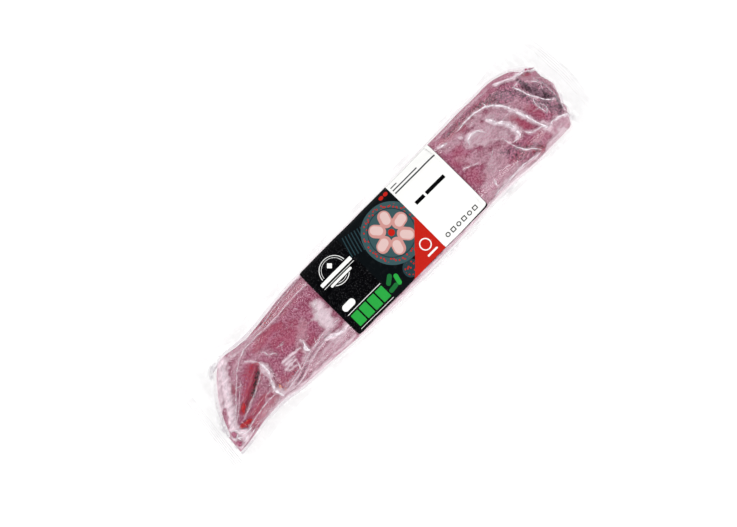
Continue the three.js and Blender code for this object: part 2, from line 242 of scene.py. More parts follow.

# A crease of the film: how high it stands, how milky it is, and the places it runs through, each
# with the width of its milky band there
# A crease's milky white is also a painted highlight, for the glints of the light along it
Crease = namedtuple("Crease", "height haze through")
CREASES = {
    # The head
    "outer_arc": Crease(1.6, 0.88, [
        (91.2, 16.2, 0.7), (97.3, 16.9, 1.1), (104.9, 16.9, 1.4), (112.5, 15.7, 1.4),
        (118.1, 13.6, 1.6), (121.6, 10.5, 2), (125.4, 5.7, 2.5), (127.4, 1.2, 2.8), (129.6, -5.4, 2.5),
        (132.1, -11.5, 2.2), (132.8, -16.3, 1.7), (134.4, -20.4, 1.4), (136.8, -25.3, 3.4)]),
    "arc_tick": Crease(0.6, 0.7, [(117, 17.8, 0.8), (117.5, 14, 1.1), (116.8, 12.3, 0.6)]),
    "inner_arc": Crease(1.6, 0.86, [
        (110.8, 8.8, 0.8), (112.5, 4.8, 2.8), (113.6, 1.5, 3.4), (116.7, -0.9, 3), (119, -5, 3.9),
        (120.2, -10.4, 4.4), (120.1, -15.3, 3.4), (116.6, -16.1, 1.4), (112.5, -15.6, 0.8)]),
    "pale_arc": Crease(0.8, 0.75, [
        (123.4, -15.4, 0.9), (125.5, -19, 1.2), (130.3, -21.1, 0.9), (134.3, -21.8, 0.9),
        (136.3, -25.8, 2.3)]),
    "shoulder": Crease(1.3, 0.9, [
        (91.2, 3.5, 1.4), (92.6, 6.7, 2.7), (96, 7.9, 2), (99.7, 7.3, 1.6), (102.6, 5.8, 1.4),
        (105.1, 0.7, 1.1)]),
    "shoulder_tick": Crease(0.4, 0.6, [(88.8, 12.7, 0.9), (91.9, 10.4, 1.1)]),
    "label_stroke": Crease(0.8, 0.8, [(73.6, 17.5, 0.8), (77.1, 16.3, 1.6), (81.8, 15.4, 1.7)]),
    "lower_line": Crease(1, 0.75, [
        (110, -9.6, 0.8), (111.2, -15, 0.8), (112.6, -20.1, 1.1), (115.8, -25.6, 1.4),
        (119.8, -28.1, 1.1), (124.1, -32.7, 0.8)]),
    "faint_line": Crease(0.4, 0.4, [(102.9, -3.7, 0.6), (107.3, -6.9, 0.6), (111, -10, 0.6)]),
    "rim_ridge": Crease(2, 0.9, [
        (130.6, 22.2, 1.6), (135, 19.6, 1.2), (139.4, 17.4, 1.2), (143.9, 15.4, 1.7), (149.5, 14.5, 2),
        (155.3, 13.8, 1.6)]),
    "hollow_line": Crease(1.5, 0.85, [
        (138.9, 10.8, 1.6), (140.8, 5.7, 1.4), (143.4, -1.4, 1.6), (147.1, -7.5, 1.4),
        (151.1, -12.2, 1.1), (154.9, -14.2, 0.9)]),
    "hollow_arm": Crease(0.8, 0.6, [(146.4, 11.4, 0.8), (142.5, 10.5, 1.1), (139.3, 10.4, 0.9)]),
    "inner_edge": Crease(0.6, 0.45, [
        (143.9, -4.2, 0.9), (141.7, -7.6, 1.1), (142.7, -14.1, 1.2), (142.7, -17.3, 0.9)]),
    "corner_fold": Crease(1.8, 0.9, [
        (142.5, -24.9, 1.7), (146.2, -24.9, 1.6), (150.2, -26.2, 1.7), (156.7, -28.1, 1.1)]),
    "corner_branch": Crease(0.8, 0.8, [(146.2, -24.9, 0.8), (141.1, -24.3, 1.2), (137.3, -25.8, 2.3)]),
    "near_band": Crease(0.7, 0.75, [
        (123.7, -33.3, 0.8), (114.5, -32.2, 0.9), (105.9, -31, 1.2), (95, -31, 1.7), (85.8, -31.4, 1.6),
        (78.7, -31.5, 1.1)]),
    "head_spot": Crease(0.5, 0.7, [(87, -23.4, 0.8), (85.7, -26.4, 1.6), (85.2, -29.5, 1.1)]),
    "head_streak": Crease(0.4, 0.5, [(76.1, -4.8, 1.2), (79.7, -6.1, 0.9), (87.7, -9.1, 0.5)]),
    "nose_glint": Crease(0.6, 0.6, [(160.8, -3.4, 0.6), (160, -7.8, 0.8), (159.1, -12, 0.6)]),
    "nose_fold": Crease(0.7, 0.55, [(151, 6.1, 1.1), (153.8, 2.4, 1.2), (155.7, -1.1, 0.6)]),
    "rim_fold": Crease(0.9, 0.32, [
        (153.5, 7.8, 0.6), (155.6, 2.8, 1), (156.8, -2.8, 0.8), (157, -8.7, 1), (156.3, -14.3, 0.6)]),
    "rim_tick": Crease(0.6, 0.3, [(155.4, 1.3, 0.6), (153.9, -2, 1), (152.7, -4.9, 0.6)]),
    "rim_tuck": Crease(0.6, 0.6, [(156.5, -16.4, 0.6), (155, -20.5, 1), (153.8, -25.5, 0.8)]),
    "tip_spike": Crease(0.9, 0.7, [
        (150.2, 15, 1.2), (154.1, 13.1, 1.6), (157.4, 11.6, 1.2), (160.7, 11.2, 0.7)]),
    "dark_edge": Crease(0.4, 0.36, [(143.5, -8.2, 0.8), (145.9, -14.5, 0.9), (142.6, -18.3, 1.1)]),
    "far_shoulder": Crease(0.6, 0.24, [
        (76, 22.6, 0.6), (92, 23, 0.8), (110, 23.4, 0.8), (128, 22.4, 0.6)]),
    # The tail
    "tail_band": Crease(0.8, 0.3, [
        (-130.2, 24.3, 1.1), (-133.4, 17.9, 2), (-137.7, 11.2, 3.4), (-143.3, 2.5, 6.2),
        (-149.1, -6, 4.1), (-154.5, -12.7, 2.3), (-158.2, -16.4, 1.4)]),
    "tail_edge": Crease(0.5, 0.4, [
        (-131, 22.8, 0.6), (-135, 19.2, 0.8), (-143.1, 10.7, 0.8), (-151.6, 1.6, 0.8),
        (-159.5, -7, 0.9), (-162.7, -12.6, 0.9), (-163.9, -17.5, 0.6)]),
    "long_line": Crease(0.55, 0.3, [
        (-107.7, 16.1, 0.9), (-115.9, 15, 1.9), (-123, 11.8, 1.4), (-129.9, 6.6, 1.2),
        (-136.9, 0.5, 1.4), (-143.6, -6, 1.6), (-150.6, -12.2, 1.6), (-156.7, -17.3, 1.2)]),
    "inner_line": Crease(0.5, 0.2, [
        (-129.6, 3, 0.8), (-137.4, -3.5, 0.9), (-144.4, -9.7, 1.1), (-150, -13.9, 1.1),
        (-157.9, -16.8, 0.9)]),
    "slit_lip": Crease(0.6, 0.2, [
        (-112.8, -0.6, 1.2), (-120.1, -5.5, 1.6), (-127.4, -9.2, 1.7), (-133.3, -11.9, 2.2),
        (-141.2, -15, 1.6), (-148.6, -17.8, 0.9)]),
    "white_fold": Crease(1.3, 0.85, [
        (-113.4, 2.7, 0.9), (-112, -2.9, 2.7), (-112.6, -7.2, 2.3), (-114.5, -11.1, 1.7),
        (-116.8, -15.4, 2), (-117.9, -19.1, 3.4), (-117, -23.9, 3.1), (-117.1, -26.4, 1.6)]),
    "cross_line": Crease(0.5, 0.5, [(-121.4, 10.2, 0.6), (-116.3, 7.4, 0.8), (-113.4, 2.4, 0.8)]),
    "scribble": Crease(0.4, 0.26, [
        (-107.1, 6.6, 1.1), (-105, 3.9, 1.6), (-104.5, 0.5, 2), (-101.1, -0.6, 1.4),
        (-99.9, -3.4, 0.9)]),
    "long_glint": Crease(0.7, 1, [(-102.5, -9.6, 0.6), (-93.8, -10.3, 0.7), (-84.4, -10.9, 0.5)]),
    "second_glint": Crease(0.7, 1, [(-102.5, -11.9, 0.6), (-91.6, -12.5, 0.5)]),
    "third_glint": Crease(0.7, 1, [(-104, -14.3, 0.6), (-92.4, -14.6, 0.5)]),
    "fourth_glint": Crease(0.6, 0.9, [(-102.4, -16.9, 0.5), (-95.2, -17.5, 0.5)]),
    "glint_end": Crease(0.6, 0.8, [(-93.6, -16, 0.6), (-95.6, -22, 0.8)]),
    "spike": Crease(1, 0.95, [
        (-82.3, -6.7, 1.2), (-81.7, -10.4, 1.1), (-83.1, -14.3, 3.1), (-81.5, -17.2, 1.2)]),
    "near_line": Crease(1.2, 0.55, [
        (-52.6, -16.3, 0.7), (-62.4, -15.5, 0.7), (-68.9, -15.4, 0.8), (-77.2, -16.9, 0.9),
        (-85.4, -18.5, 0.7), (-94.2, -21.6, 0.8), (-103.1, -23.7, 0.9), (-110.6, -24.3, 1.2)]),
    "near_line_above": Crease(0.5, 0.34, [
        (-84, -16.4, 0.6), (-92, -18.8, 0.7), (-100, -21.4, 0.7), (-108, -22.6, 0.6)]),
    "near_line_below": Crease(0.6, 0.6, [
        (-64.6, -19.4, 0.6), (-75.5, -20.2, 0.7), (-85.4, -22.4, 0.7), (-94.8, -25.4, 0.7),
        (-102.6, -27, 0.8), (-112.6, -26.4, 0.8)]),
    "near_streak": Crease(1, 0.95, [
        (-70, -18.8, 1.1), (-66, -20.6, 2.6), (-60, -22.8, 2.6), (-52, -24.4, 1.4)]),
    "low_streak": Crease(0.8, 0.42, [
        (-120, -20.5, 1.1), (-130.3, -20.5, 0.9), (-138.7, -22.1, 1.1), (-146.5, -23.6, 1.2),
        (-152.8, -25.9, 0.9)]),
    "edge_streak": Crease(0.5, 0.32, [
        (-118.9, -24.2, 1.1), (-123.2, -26, 0.8), (-132.9, -26.2, 0.6), (-141.3, -26.4, 0.6),
        (-147.4, -26.6, 0.9)]),
    "lip_streak": Crease(0.5, 0.15, [(-124.7, -16.2, 0.6), (-132.6, -17.1, 0.8), (-141.9, -18.7, 0.8)]),
    "short_streak": Crease(0.4, 0.4, [(-120.2, -16.3, 0.8), (-127.5, -17.8, 0.6)]),
    "tip_top": Crease(1, 0.85, [
        (-160.1, -16.3, 1.1), (-156.7, -18.4, 1.2), (-154.8, -22.5, 1.6), (-153.2, -25, 1.2),
        (-147.3, -25, 1.4)]),
    "tip_side": Crease(0.8, 0.85, [(-153.3, -24.9, 1.9), (-155, -27.6, 1.4), (-158.6, -28.6, 0.9)]),
    "tip_cross": Crease(0.6, 0.7, [(-161.5, -22.2, 0.8), (-157.9, -24.3, 1.1), (-156.3, -26.7, 0.8)]),
    "far_line": Crease(0.9, 0.42, [
        (-108.3, 16.2, 0.8), (-86.4, 15.3, 1), (-69.4, 16.4, 0.9), (-52.6, 16.2, 0.8)]),
    "far_edge": Crease(0.7, 0.34, [
        (-111.8, 20.2, 0.8), (-97.5, 18.2, 0.9), (-82.3, 20.6, 1), (-56, 23, 0.8)]),
    "far_thread": Crease(0.4, 0.26, [
        (-104, 18.6, 0.6), (-88, 17.6, 0.7), (-70, 19.6, 0.7), (-54, 20.2, 0.6)]),
    "tip_line": Crease(0.6, 0.7, [
        (-144, -26.6, 0.7), (-151.7, -28.2, 0.9), (-157.6, -29.4, 1), (-162.8, -30.4, 0.7)]),
    "tip_crumple": Crease(0.8, 0.7, [(-161, -18, 0.8), (-162.6, -22, 1.2), (-159.8, -24.4, 0.9)]),
    "tip_knot": Crease(0.8, 0.7, [(-157, -20.8, 0.9), (-159.4, -22.8, 1.3), (-158.6, -26.8, 0.9)]),
    "side_flap": Crease(0.5, 0.5, [(-131.4, 22.6, 0.8), (-136.6, 21.9, 2.2), (-141, 20.6, 1.4)]),
}

# A soft band over the film or the meat: how strong it is, and its places, each with its width there.
# Milky bands are milky film and painted sheen where the film reflects the light.
# Blood and fat colour the meat, and shade is painted shade over darker flesh
Stain = namedtuple("Stain", "strength through")
# Milky film and painted sheen: the broad reflection of the lights on the film's slopes is painted as milk
MILK_AND_SHEEN = [
    Stain(0.27, [(79, -24.6, 8), (91, -19.6, 17), (99, -15, 14)]),
    Stain(0.31, [(91, 4, 8), (99, 4, 15), (105, -1, 20), (112, -8, 12)]),
    Stain(0.24, [(77, 13, 6), (86, 12.4, 7), (92, 12.6, 5)]),
    Stain(0.3, [(101, 13, 5), (106, 12, 7), (110, 12.4, 5)]),
    Stain(0.14, [(80, 1, 8), (87, -5, 12), (95, -9, 12)]),
    Stain(0.28, [(110, 11, 5), (116, 6, 8), (122, 0, 8), (126, -4, 4)]),
    Stain(0.66, [
        (111, 7, 2.5), (113.8, 2, 4.5), (118, -3, 5), (120, -9, 6), (119.4, -14, 5), (116, -16, 2.5)]),
    Stain(0.16, [(128, 14, 6), (134, 4, 9), (137, -6, 5)]),
    Stain(0.45, [(135.6, -20.5, 4), (136.8, -25.5, 6), (137, -29, 4)]),
    Stain(0.3, [(142, -28.5, 6), (150, -29.5, 8), (156, -29, 4)]),
    Stain(0.1, [(150, 8, 5), (156.5, 1, 6), (157, -8, 7), (152, -17, 7)]),
    Stain(0.22, [(74, -29, 7), (90, -29.5, 9), (104, -30, 6)]),
    Stain(0.5, [(74, -33.4, 3), (94, -33.2, 4), (108, -33.8, 2)]),
    Stain(0.45, [(126, -33.8, 2), (134, -33, 4), (144, -32.6, 4)]),
    Stain(0.3, [(-53, -27, 8), (-70, -26, 9), (-86, -26.6, 7)]),
    Stain(0.5, [(-54, -31.4, 3.2), (-72, -30.6, 3.2), (-94, -29.6, 2.8), (-114, -28, 2.2)]),
    Stain(0.24, [(-99, -23, 4), (-108, -23.6, 6), (-114, -23.6, 5)]),
    Stain(0.46, [(-53, -23.4, 6), (-60, -24.8, 7), (-66, -24, 4)]),
    Stain(0.84, [(-52, -23.6, 1.8), (-60, -22.8, 3), (-66, -20.8, 4.2), (-70, -19.2, 1.8)]),
    Stain(0.42, [(-88, 22.2, 1), (-74, 23.6, 1.8), (-60, 24, 3), (-48, 24.2, 2.6)]),
    Stain(0.3, [(-129, 19.6, 6), (-113, 18.4, 6), (-100, 18, 5), (-92, 18, 3)]),
    Stain(0.36, [(-55, -15.4, 4), (-63, -16.4, 5), (-72, -17.8, 6), (-88, -19.8, 7)]),
    Stain(0.38, [(-104, -26, 4), (-116, -25.4, 7), (-128, -25.6, 7), (-140, -26, 4)]),
    Stain(0.1, [(-112, 6, 6), (-105, 3, 8), (-101, -2, 5)]),
    Stain(0.16, [(-72, -1, 6), (-79, -6, 9), (-84, -9, 6)]),
    Stain(0.44, [(-112, 1, 3), (-113.6, -4, 6), (-114.6, -9, 3)]),
    Stain(0.08, [(-118, -8, 5), (-124, -13, 6), (-133, -17, 3)]),
    Stain(0.72, [
        (-129.4, 22.6, 6), (-133.6, 16.4, 9), (-143, 3.4, 6.8), (-151.2, -8.4, 5), (-158, -16.4, 4)]),
    Stain(0.52, [(-133.4, 21.4, 3), (-141, 13.4, 4.6), (-149, 3.6, 3.8), (-156, -4, 2.6)]),
    Stain(0.5, [(-134, 13, 5), (-142.6, 3.4, 7.4), (-149, -6, 7.4), (-155, -15, 5)]),
    Stain(0.18, [(-116, 14, 4), (-126, 11, 6), (-137, 3, 6), (-147, -6, 5), (-156, -15, 4)]),
    Stain(0.78, [(-158.4, -16.6, 5), (-156, -19.6, 6.6), (-155, -25, 6), (-158, -29, 4)]),
    Stain(0.6, [(-162, -18, 5), (-162, -25, 6), (-162.6, -30, 4)]),
    Stain(0.6, [(-131, 22.4, 2.4), (-136, 22.6, 5.6), (-140.6, 21.4, 5), (-144, 18.6, 2.4)]),
    Stain(0.08, [(-84, 18, 4), (-56, 20, 5)]),
    Stain(0.56, [(-52, -33.4, 2), (-20, -34.6, 3.4), (24, -35, 3.8), (48, -34.4, 3.4), (73, -33.6, 2)]),
    Stain(0.5, [(-56, 1, 5), (-58, -6, 9), (-60.6, -12, 8), (-60, -16, 5)]),
]
BLOOD = [
    Stain(0.28, [(86, 8, 5), (83, 6, 9), (80, 3.4, 10), (76.4, 1, 7)]),
    Stain(0.22, [(81, -4, 5), (78, -11, 10), (80, -18, 7)]),
    Stain(0.6, [(124, -3, 5), (126, -9.6, 8), (128.2, -15, 5)]),
    Stain(0.4, [(136, -6, 5), (139, -11, 7), (139, -17, 4)]),
    Stain(0.8, [(119, -29.4, 3), (124.5, -32, 5)]),
    Stain(0.2, [(126, -25, 4), (131, -24.4, 6), (133, -29, 4)]),
    Stain(0.8, [(151, 12.4, 3), (154.5, 10.8, 3)]),
    Stain(1.0, [
        (-114.6, 2.6, 4), (-118, 1.8, 10), (-123, -1.8, 10.5), (-128.4, -6, 8), (-137, -10.2, 6),
        (-145, -13.4, 5)]),
    Stain(0.8, [(-136.5, 5, 3), (-138.9, 0.5, 3.5)]),
    Stain(0.7, [(-119, -22.6, 4), (-131, -23.4, 7), (-146, -25.5, 5)]),
    Stain(0.85, [(-126, -16.6, 3), (-135, -18.4, 6), (-145, -20, 4)]),
    Stain(0.4, [(-95, 3, 12), (-84, 0, 15), (-74, -2, 9)]),
    Stain(0.3, [(-79, 14.8, 5), (-66, 14.8, 5)]),
    Stain(0.62, [(-108, 10, 6), (-97, 12, 8), (-84, 10, 5)]),
    Stain(0.4, [(-86, -12, 7), (-75, -13, 7)]),
    Stain(0.3, [(-98, -18, 3), (-110, -18, 5)]),
    Stain(0.7, [(-106, 21, 1.6), (-88, 19.4, 1.8), (-72, 21.4, 1.8), (-62, 21.6, 1)]),
    Stain(0.42, [(-100, 17.4, 5), (-84, 18.4, 6), (-58, 19.2, 6)]),
    Stain(0.5, [(80, 18.4, 5), (96, 17.4, 7), (110, 17.6, 6), (124, 14.6, 7)]),
    Stain(0.4, [(107, -24.6, 5), (119, -24.8, 6)]),
    Stain(0.25, [(78, -18.4, 5), (86, -18, 4)]),
    Stain(0.3, [(-127, -21, 5), (-137, -21.4, 5)]),
    Stain(0.4, [(-114, -17.4, 5), (-121, -18.6, 6), (-128, -17, 4)]),
]
FAT = [
    Stain(0.9, [(-57.6, 1.5, 7), (-59, -5, 11), (-60, -12.6, 8)]),
    Stain(0.6, [(-63, -6, 5), (-65, -11, 3)]),
    Stain(0.35, [(-115.5, -20, 3), (-117, -24, 4)]),
    Stain(0.7, [(-158, -16.5, 3), (-157, -21, 4), (-156, -27, 4)]),
]
# Painted shade in the meat's hollows, its slit, beside creases and along its edges, over darker flesh there
SHADE = [
    Stain(0.84, [
        (-116.6, -1, 1.8), (-119.4, -2.8, 3.4), (-124.4, -6, 4), (-131, -10.2, 3), (-134.2, -11.8, 1)]),
    Stain(1.0, [
        (145.3, 11.4, 3.4), (146.4, 5, 5.6), (148.6, -2, 6.8), (151.6, -8.2, 6), (155.6, -12.7, 3.4)]),
    Stain(0.76, [(152, 2.8, 3), (153.6, -0.6, 6), (154.2, -5.6, 4.4), (155.4, -9, 3)]),
    Stain(0.7, [(145.8, 10.6, 1.2), (142.4, 8.2, 1.6)]),
    Stain(1.0, [(157, -12.6, 2.4), (155.4, -17, 4), (152.6, -21.6, 5), (149.4, -23.6, 2.6)]),
    Stain(0.82, [(143, -7.6, 4.4), (147.6, -13.4, 10), (151, -19, 9)]),
    Stain(0.8, [(145.9, -15.5, 1.6), (141.6, -18.6, 2)]),
    Stain(0.68, [(155, 4.4, 1.6), (155.8, 1.4, 4), (156.6, -2, 4.4), (157, -6, 4.4), (157.2, -11, 3)]),
    Stain(0.74, [(113, 17.6, 4), (121, 14.6, 10), (130, 11.4, 14), (138, 7.4, 10), (141.4, -0.6, 7)]),
    Stain(0.62, [(103.3, -15.4, 5), (110, -21.4, 12), (118, -26.4, 10), (125, -30, 5)]),
    Stain(0.56, [(84, 19.4, 4), (104, 18.8, 6), (122, 17, 6)]),
    Stain(0.8, [(-163.4, -31, 0.9), (-156, -29.8, 1.1), (-148, -28, 0.9)]),
    Stain(0.8, [
        (-58, -17.8, 0.7), (-72, -18, 0.9), (-86, -20.4, 1), (-97, -24, 1.1), (-106, -26.2, 0.8)]),
    Stain(0.6, [(-110, 21.8, 0.8), (-97, 20, 1.1), (-83, 20, 1.1), (-66, 22.6, 1), (-55, 23.4, 0.8)]),
]

# Juice caught under the film: a strength of 1 is yellowish fat in it, and 0 is red
JUICE = [
    Stain(0, [(-139.4, -9.6, 2), (-142.7, -12.2, 3.6), (-145, -14.6, 2.4)]),
    Stain(0, [(-154, -19.4, 2.2), (-150, -20.2, 3.6), (-145.6, -21, 3.2), (-143, -21.6, 1.4)]),
    Stain(1, [(-146.4, -19.2, 0.8), (-147.4, -21.2, 1.3), (-148.2, -22.8, 0.8)]),
    Stain(0.7, [(-113.6, -18, 1), (-114.4, -20, 2), (-115.4, -21.6, 1)]),
    Stain(0.15, [(-111.6, -22.4, 1), (-113, -23.6, 2.2), (-114.2, -24.8, 1)]),
]
# Shreds of meat in the crumpled film at the tail's tip, and a thread of it at the head's
SHREDS = [
    Stain(0.55, [(-161.2, -17.6, 3), (-159.6, -19.4, 5.4), (-157.8, -21, 3.4)]),
    Stain(0.55, [(-163.4, -24.4, 4), (-161.6, -26, 6.4), (-159.6, -27.4, 4)]),
    Stain(0.8, [(152.5, 13.6, 2.6), (155.8, 13.8, 2.2), (158.8, 13.9, 1.6), (161.9, 13, 1.1)]),
]
# Lines along which beads of juice stand
BEADED = [
    [(-94, 18, 1), (-90, 18.2, 1), (-85, 18.6, 1)],
    [(-117, 4.4, 1), (-127, 0.4, 1), (-136, -5, 1)],
    [(-146, -22.6, 1), (-150, -22.4, 1), (-153, -21, 1)],
    [(-96, -19.8, 1), (-106, -20.6, 1), (-113, -21, 1)],
]

# Furrows of the meat itself, as creases below its surface: the film bridges part of their depth
FURROWS = {
    "slit": Crease(-3.4, 0, [(-114, 1, 4), (-124, -5.2, 5), (-143, -13.8, 4)]),
    "hollow": Crease(-5.5, 0, [(145.5, 10, 6), (148.6, -1.5, 8), (155, -12, 6)]),
    "second_hollow": Crease(-2.5, 0, [(146, -10, 5), (150, -17, 6), (154, -20, 5)]),
    "fold_foot": Crease(-1.0, 0, [(-112, -2, 4), (-113, -12, 4), (-117, -22, 4)]),
}


def smoothstep(value, low, high):
    """Zero up to low, one from high on, and a smooth rise between them."""
    share = np.clip((value - low) / (high - low), 0, 1)
    return share * share * (3 - 2 * share)


def mix(start, end, share):
    """The value that lies a share of the way from start to end."""
    return start + (end - start) * share


def lumps(x, y, size_x, size_y, seed):
    """A smooth random field between -1 and 1, with lumps of about the given size."""
    cells = 97
    lattice = np.random.default_rng(seed).uniform(-1, 1, (cells, cells))
    across, up = np.broadcast_arrays(x / size_x, y / size_y)
    left = np.floor(across).astype(int)
    low = np.floor(up).astype(int)
    to_right = smoothstep(across - left, 0, 1)

    def along_row(row):
        return mix(lattice[left % cells, row % cells], lattice[(left + 1) % cells, row % cells], to_right)

    return mix(along_row(low), along_row(low + 1), smoothstep(up - low, 0, 1))


def layered(x, y, layers):
    """Several layers of lumps together."""
    return sum(amount * lumps(x, y, size_x, size_y, seed) for amount, size_x, size_y, seed in layers)


def station_value(column, x):
    """A smooth curve through the stations' values, each as steep as the line between its neighbours."""
    at = STATIONS[:, 0]
    value = STATIONS[:, column]
    last = len(at) - 1
    start = np.clip(np.searchsorted(at, x, side="right") - 1, 0, last - 1)
    end = start + 1
    before = np.maximum(start - 1, 0)
    after = np.minimum(end + 1, last)
    span = at[end] - at[start]
    rise = value[end] - value[start]
    slope_in = (value[end] - value[before]) / (at[end] - at[before]) * span
    slope_out = (value[after] - value[start]) / (at[after] - at[start]) * span
    share = np.clip((x - at[start]) / span, 0, 1)
    square = 3 * rise - 2 * slope_in - slope_out
    cube = slope_in + slope_out - 2 * rise
    return value[start] + share * (slope_in + share * (square + share * cube))


# A cross section: both edges of the bag and of the meat, the seam's height, how full the section is
# between the tips, the dome's height over the seam, and how far the margin droops at its edge
Section = namedtuple("Section", "bag_far bag_near far near seam rounding dome droop")


def section_at(x, inset=0.0):
    """All that the cross section at x needs. inset makes the meat that much smaller all round."""
    distance = np.abs(x)
    into_tail = np.clip((TAIL_TIP + inset + TAIL_ROUNDING - x) / TAIL_ROUNDING, 0, 1)
    into_head = np.clip((x - HEAD_TIP + inset + HEAD_ROUNDING) / HEAD_ROUNDING, 0, 1)
    rounding = np.sqrt((1 - into_tail ** 2) * (1 - into_head ** 2))
    flare = smoothstep(distance, HALF_LENGTH - FLARE_LENGTH, HALF_LENGTH - TAIL_SLANT) ** FLARE_POWER
    near_waist = NEAR_WAIST + NEAR_BULGE * smoothstep(x, -BULGE_REACH, 0)
    sinking = smoothstep(distance, DROOP_START, HALF_LENGTH)
    seam = mix(SEAM_HEIGHT, END_HEIGHT, sinking)
    swell = SWELL * np.sin(2 * np.pi * x / SWELL_LENGTH)
    crest = station_value(CREST, x) + swell - inset
    return Section(
        bag_far=mix(FAR_WAIST, HALF_WIDTH, flare),
        bag_near=-mix(near_waist, HALF_WIDTH, flare),
        far=station_value(FAR_EDGE, x) - inset,
        near=station_value(NEAR_EDGE, x) + inset,
        seam=seam,
        rounding=rounding,
        dome=np.maximum(crest - seam, 0) * rounding,
        droop=EDGE_DROOP * (1 - sinking),
    )


def full_power(value):
    """Makes a round section fuller towards its corners."""
    return np.sign(value) * np.abs(value) ** TOP_FULLNESS


def dome_angle(share, rim):
    """An angle on the dome for a share of the way from its crest to its rim, in even steps."""
    away = np.abs(share) ** (1 / TOP_FULLNESS)
    left = (1 - np.abs(share)) ** (1 / TOP_FULLNESS)
    return np.sign(share) * rim * away / (away + left)


def middle_and_half(section):
    """The middle of the meat across the pack, and half its width."""
    return (section.far + section.near) / 2, (section.far - section.near) / 2


def on_dome(section, angle):
    """Place across and height of the meat's rounded top at an angle from its crest."""
    middle, half = middle_and_half(section)
    y = middle - half * full_power(np.sin(angle))
    return y, section.seam + section.dome * full_power(np.maximum(np.cos(angle), 0))


def angle_at(section, y):
    """The angle on the dome at which its place across is y."""
    middle, half = middle_and_half(section)
    off = np.clip((middle - y) / half, -1, 1)
    return np.arcsin(np.sign(off) * np.abs(off) ** (1 / TOP_FULLNESS))


def rim_lift(across):
    """How the meat's underside rises to its rim: 0 on its flat middle, and 1 at the rim itself."""
    into_rim = np.clip((np.abs(across) - FLAT_SHARE) / (1 - FLAT_SHARE), 0, 1)
    return 1 - np.sqrt(1 - into_rim ** 2)


def cut_end(x, y):
    """Moves places near the bag's ends, which are slanted and bowed, and at the head's ragged rim."""
    side = y / HALF_WIDTH
    rise, full = [HEAD_TIP + beside for beside in RAGGED_RISE]
    fall, gone = [HEAD_TIP + beside for beside in RAGGED_FALL]
    at_rim = smoothstep(x, rise, full) * (1 - smoothstep(x, fall, gone))
    ragged = RAGGED_RIM * at_rim * layered(x, y, RIM_RAGS)
    tail = smoothstep(-x, HALF_LENGTH - SLANT_REACH, HALF_LENGTH) * TAIL_SLANT * (1 + side)
    head = smoothstep(x, HALF_LENGTH - BOW_REACH, HALF_LENGTH) * HEAD_BOW * side ** 2
    return x + tail - head + ragged


def curve_through(places):
    """Points of a smooth curve through places, with a width at each."""
    knots = np.array([places[0], *places, places[-1]], float)
    share = np.linspace(0, 1, CURVE_STEPS, endpoint=False)[:, None]
    runs = []
    for before, start, end, after in zip(knots, knots[1:], knots[2:], knots[3:]):
        square = 2 * before - 5 * start + 4 * end - after
        cube = 3 * (start - end) + after - before
        runs.append(start + 0.5 * share * (end - before + share * (square + share * cube)))
    return np.vstack([*runs, knots[-1:]])


def along_curve(curve, x, y, reach):
    """For places within reach of a curve: which they are, how far off and along it, and its width."""
    line = curve[:, :2]
    low = line.min(0) - reach
    high = line.max(0) + reach
    found = np.nonzero((x > low[0]) & (x < high[0]) & (y > low[1]) & (y < high[1]))
    place = np.stack([x[found], y[found]], -1)[:, None]
    start = line[:-1]
    step = line[1:] - start
    share = np.clip(((place - start) * step).sum(-1) / (step ** 2).sum(-1), 0, 1)
    distance = np.linalg.norm(place - start - share[..., None] * step, axis=-1)
    nearest = distance.argmin(1)
    rows = np.arange(len(nearest))
    along = nearest + share[rows, nearest]
    width = np.interp(along, np.arange(len(curve)), curve[:, 2])
    return found, distance[rows, nearest], along / len(step), width


def fade(along):
    """Near zero at both ends of a crease and one along its middle."""
    return smoothstep(np.minimum(along, 1 - along) / FADE_SHARE, -0.3, 1)


def creases_over(x, y, creases):
    """Height of creases over places seen from above."""
    height = np.zeros(x.shape)
    for crease in creases.values():
        curve = curve_through(crease.through)
        reach = 2 * max(LEAST_RELIEF, curve[:, 2].max())
        found, distance, along, width = along_curve(curve, x, y, reach)
        spread = np.maximum(LEAST_RELIEF, 0.75 * width)
        height[found] += crease.height * fade(along) * np.exp(-2 * (distance / spread) ** 2)
    return height


def stains_over(x, y, stains, seed):
    """Strength of soft bands with ragged edges over places seen from above."""
    total = np.zeros(x.shape)
    ragged = layered(x, y, [(0.34, 2.4, 1.8, seed), (0.3, 6, 4, seed + 1)])
    for stain in stains:
        curve = curve_through(stain.through)
        found, distance, _, width = along_curve(curve, x, y, curve[:, 2].max())
        off = 2 * distance / width + ragged[found]
        inside = stain.strength * (1 - smoothstep(off, 0.35, 1.45))
        total[found] = np.maximum(total[found], inside)
    return total


def milk_beside(x, y, creases):
    """How milky the film is close to its creases."""
    total = np.zeros(x.shape)
    ragged = layered(x, y, MILK_RAGS)
    for crease in creases.values():
        curve = curve_through(crease.through)
        found, distance, along, width = along_curve(curve, x, y, 1.3 * curve[:, 2].max() + 1.6)
        off = distance / (0.75 * width + 0.6) + ragged[found]
        inside = MILK_SHARE * crease.haze * fade(along) * (1 - smoothstep(off, 0, 1.5))
        total[found] = np.maximum(total[found], inside)
    return total


def down_side(rise, section):
    """How far down the meat's steep sides places are: none of it on the top, all of it at the rim."""
    return 1 - smoothstep(rise / np.maximum(section.dome, 1), 0.12, 0.55)


def unevenness(x, y):
    """The gentle lumps that the film and the meat share, and the crumples at the head's folded end."""
    return layered(x, y, SOFT_LUMPS) + smoothstep(x, *CRUMPLED_END) * layered(x, y, END_CRUMPLES)


def facing(grid):
    """Outward directions of a grid of points whose rows run to +X and whose columns run to -Y."""
    along = np.gradient(grid, axis=0)
    across = np.gradient(grid, axis=1)
    normal = np.cross(across, along)
    length = np.linalg.norm(normal, axis=-1, keepdims=True)
    return np.where(length > 1e-9, normal / np.maximum(length, 1e-9), (0, 0, 1))


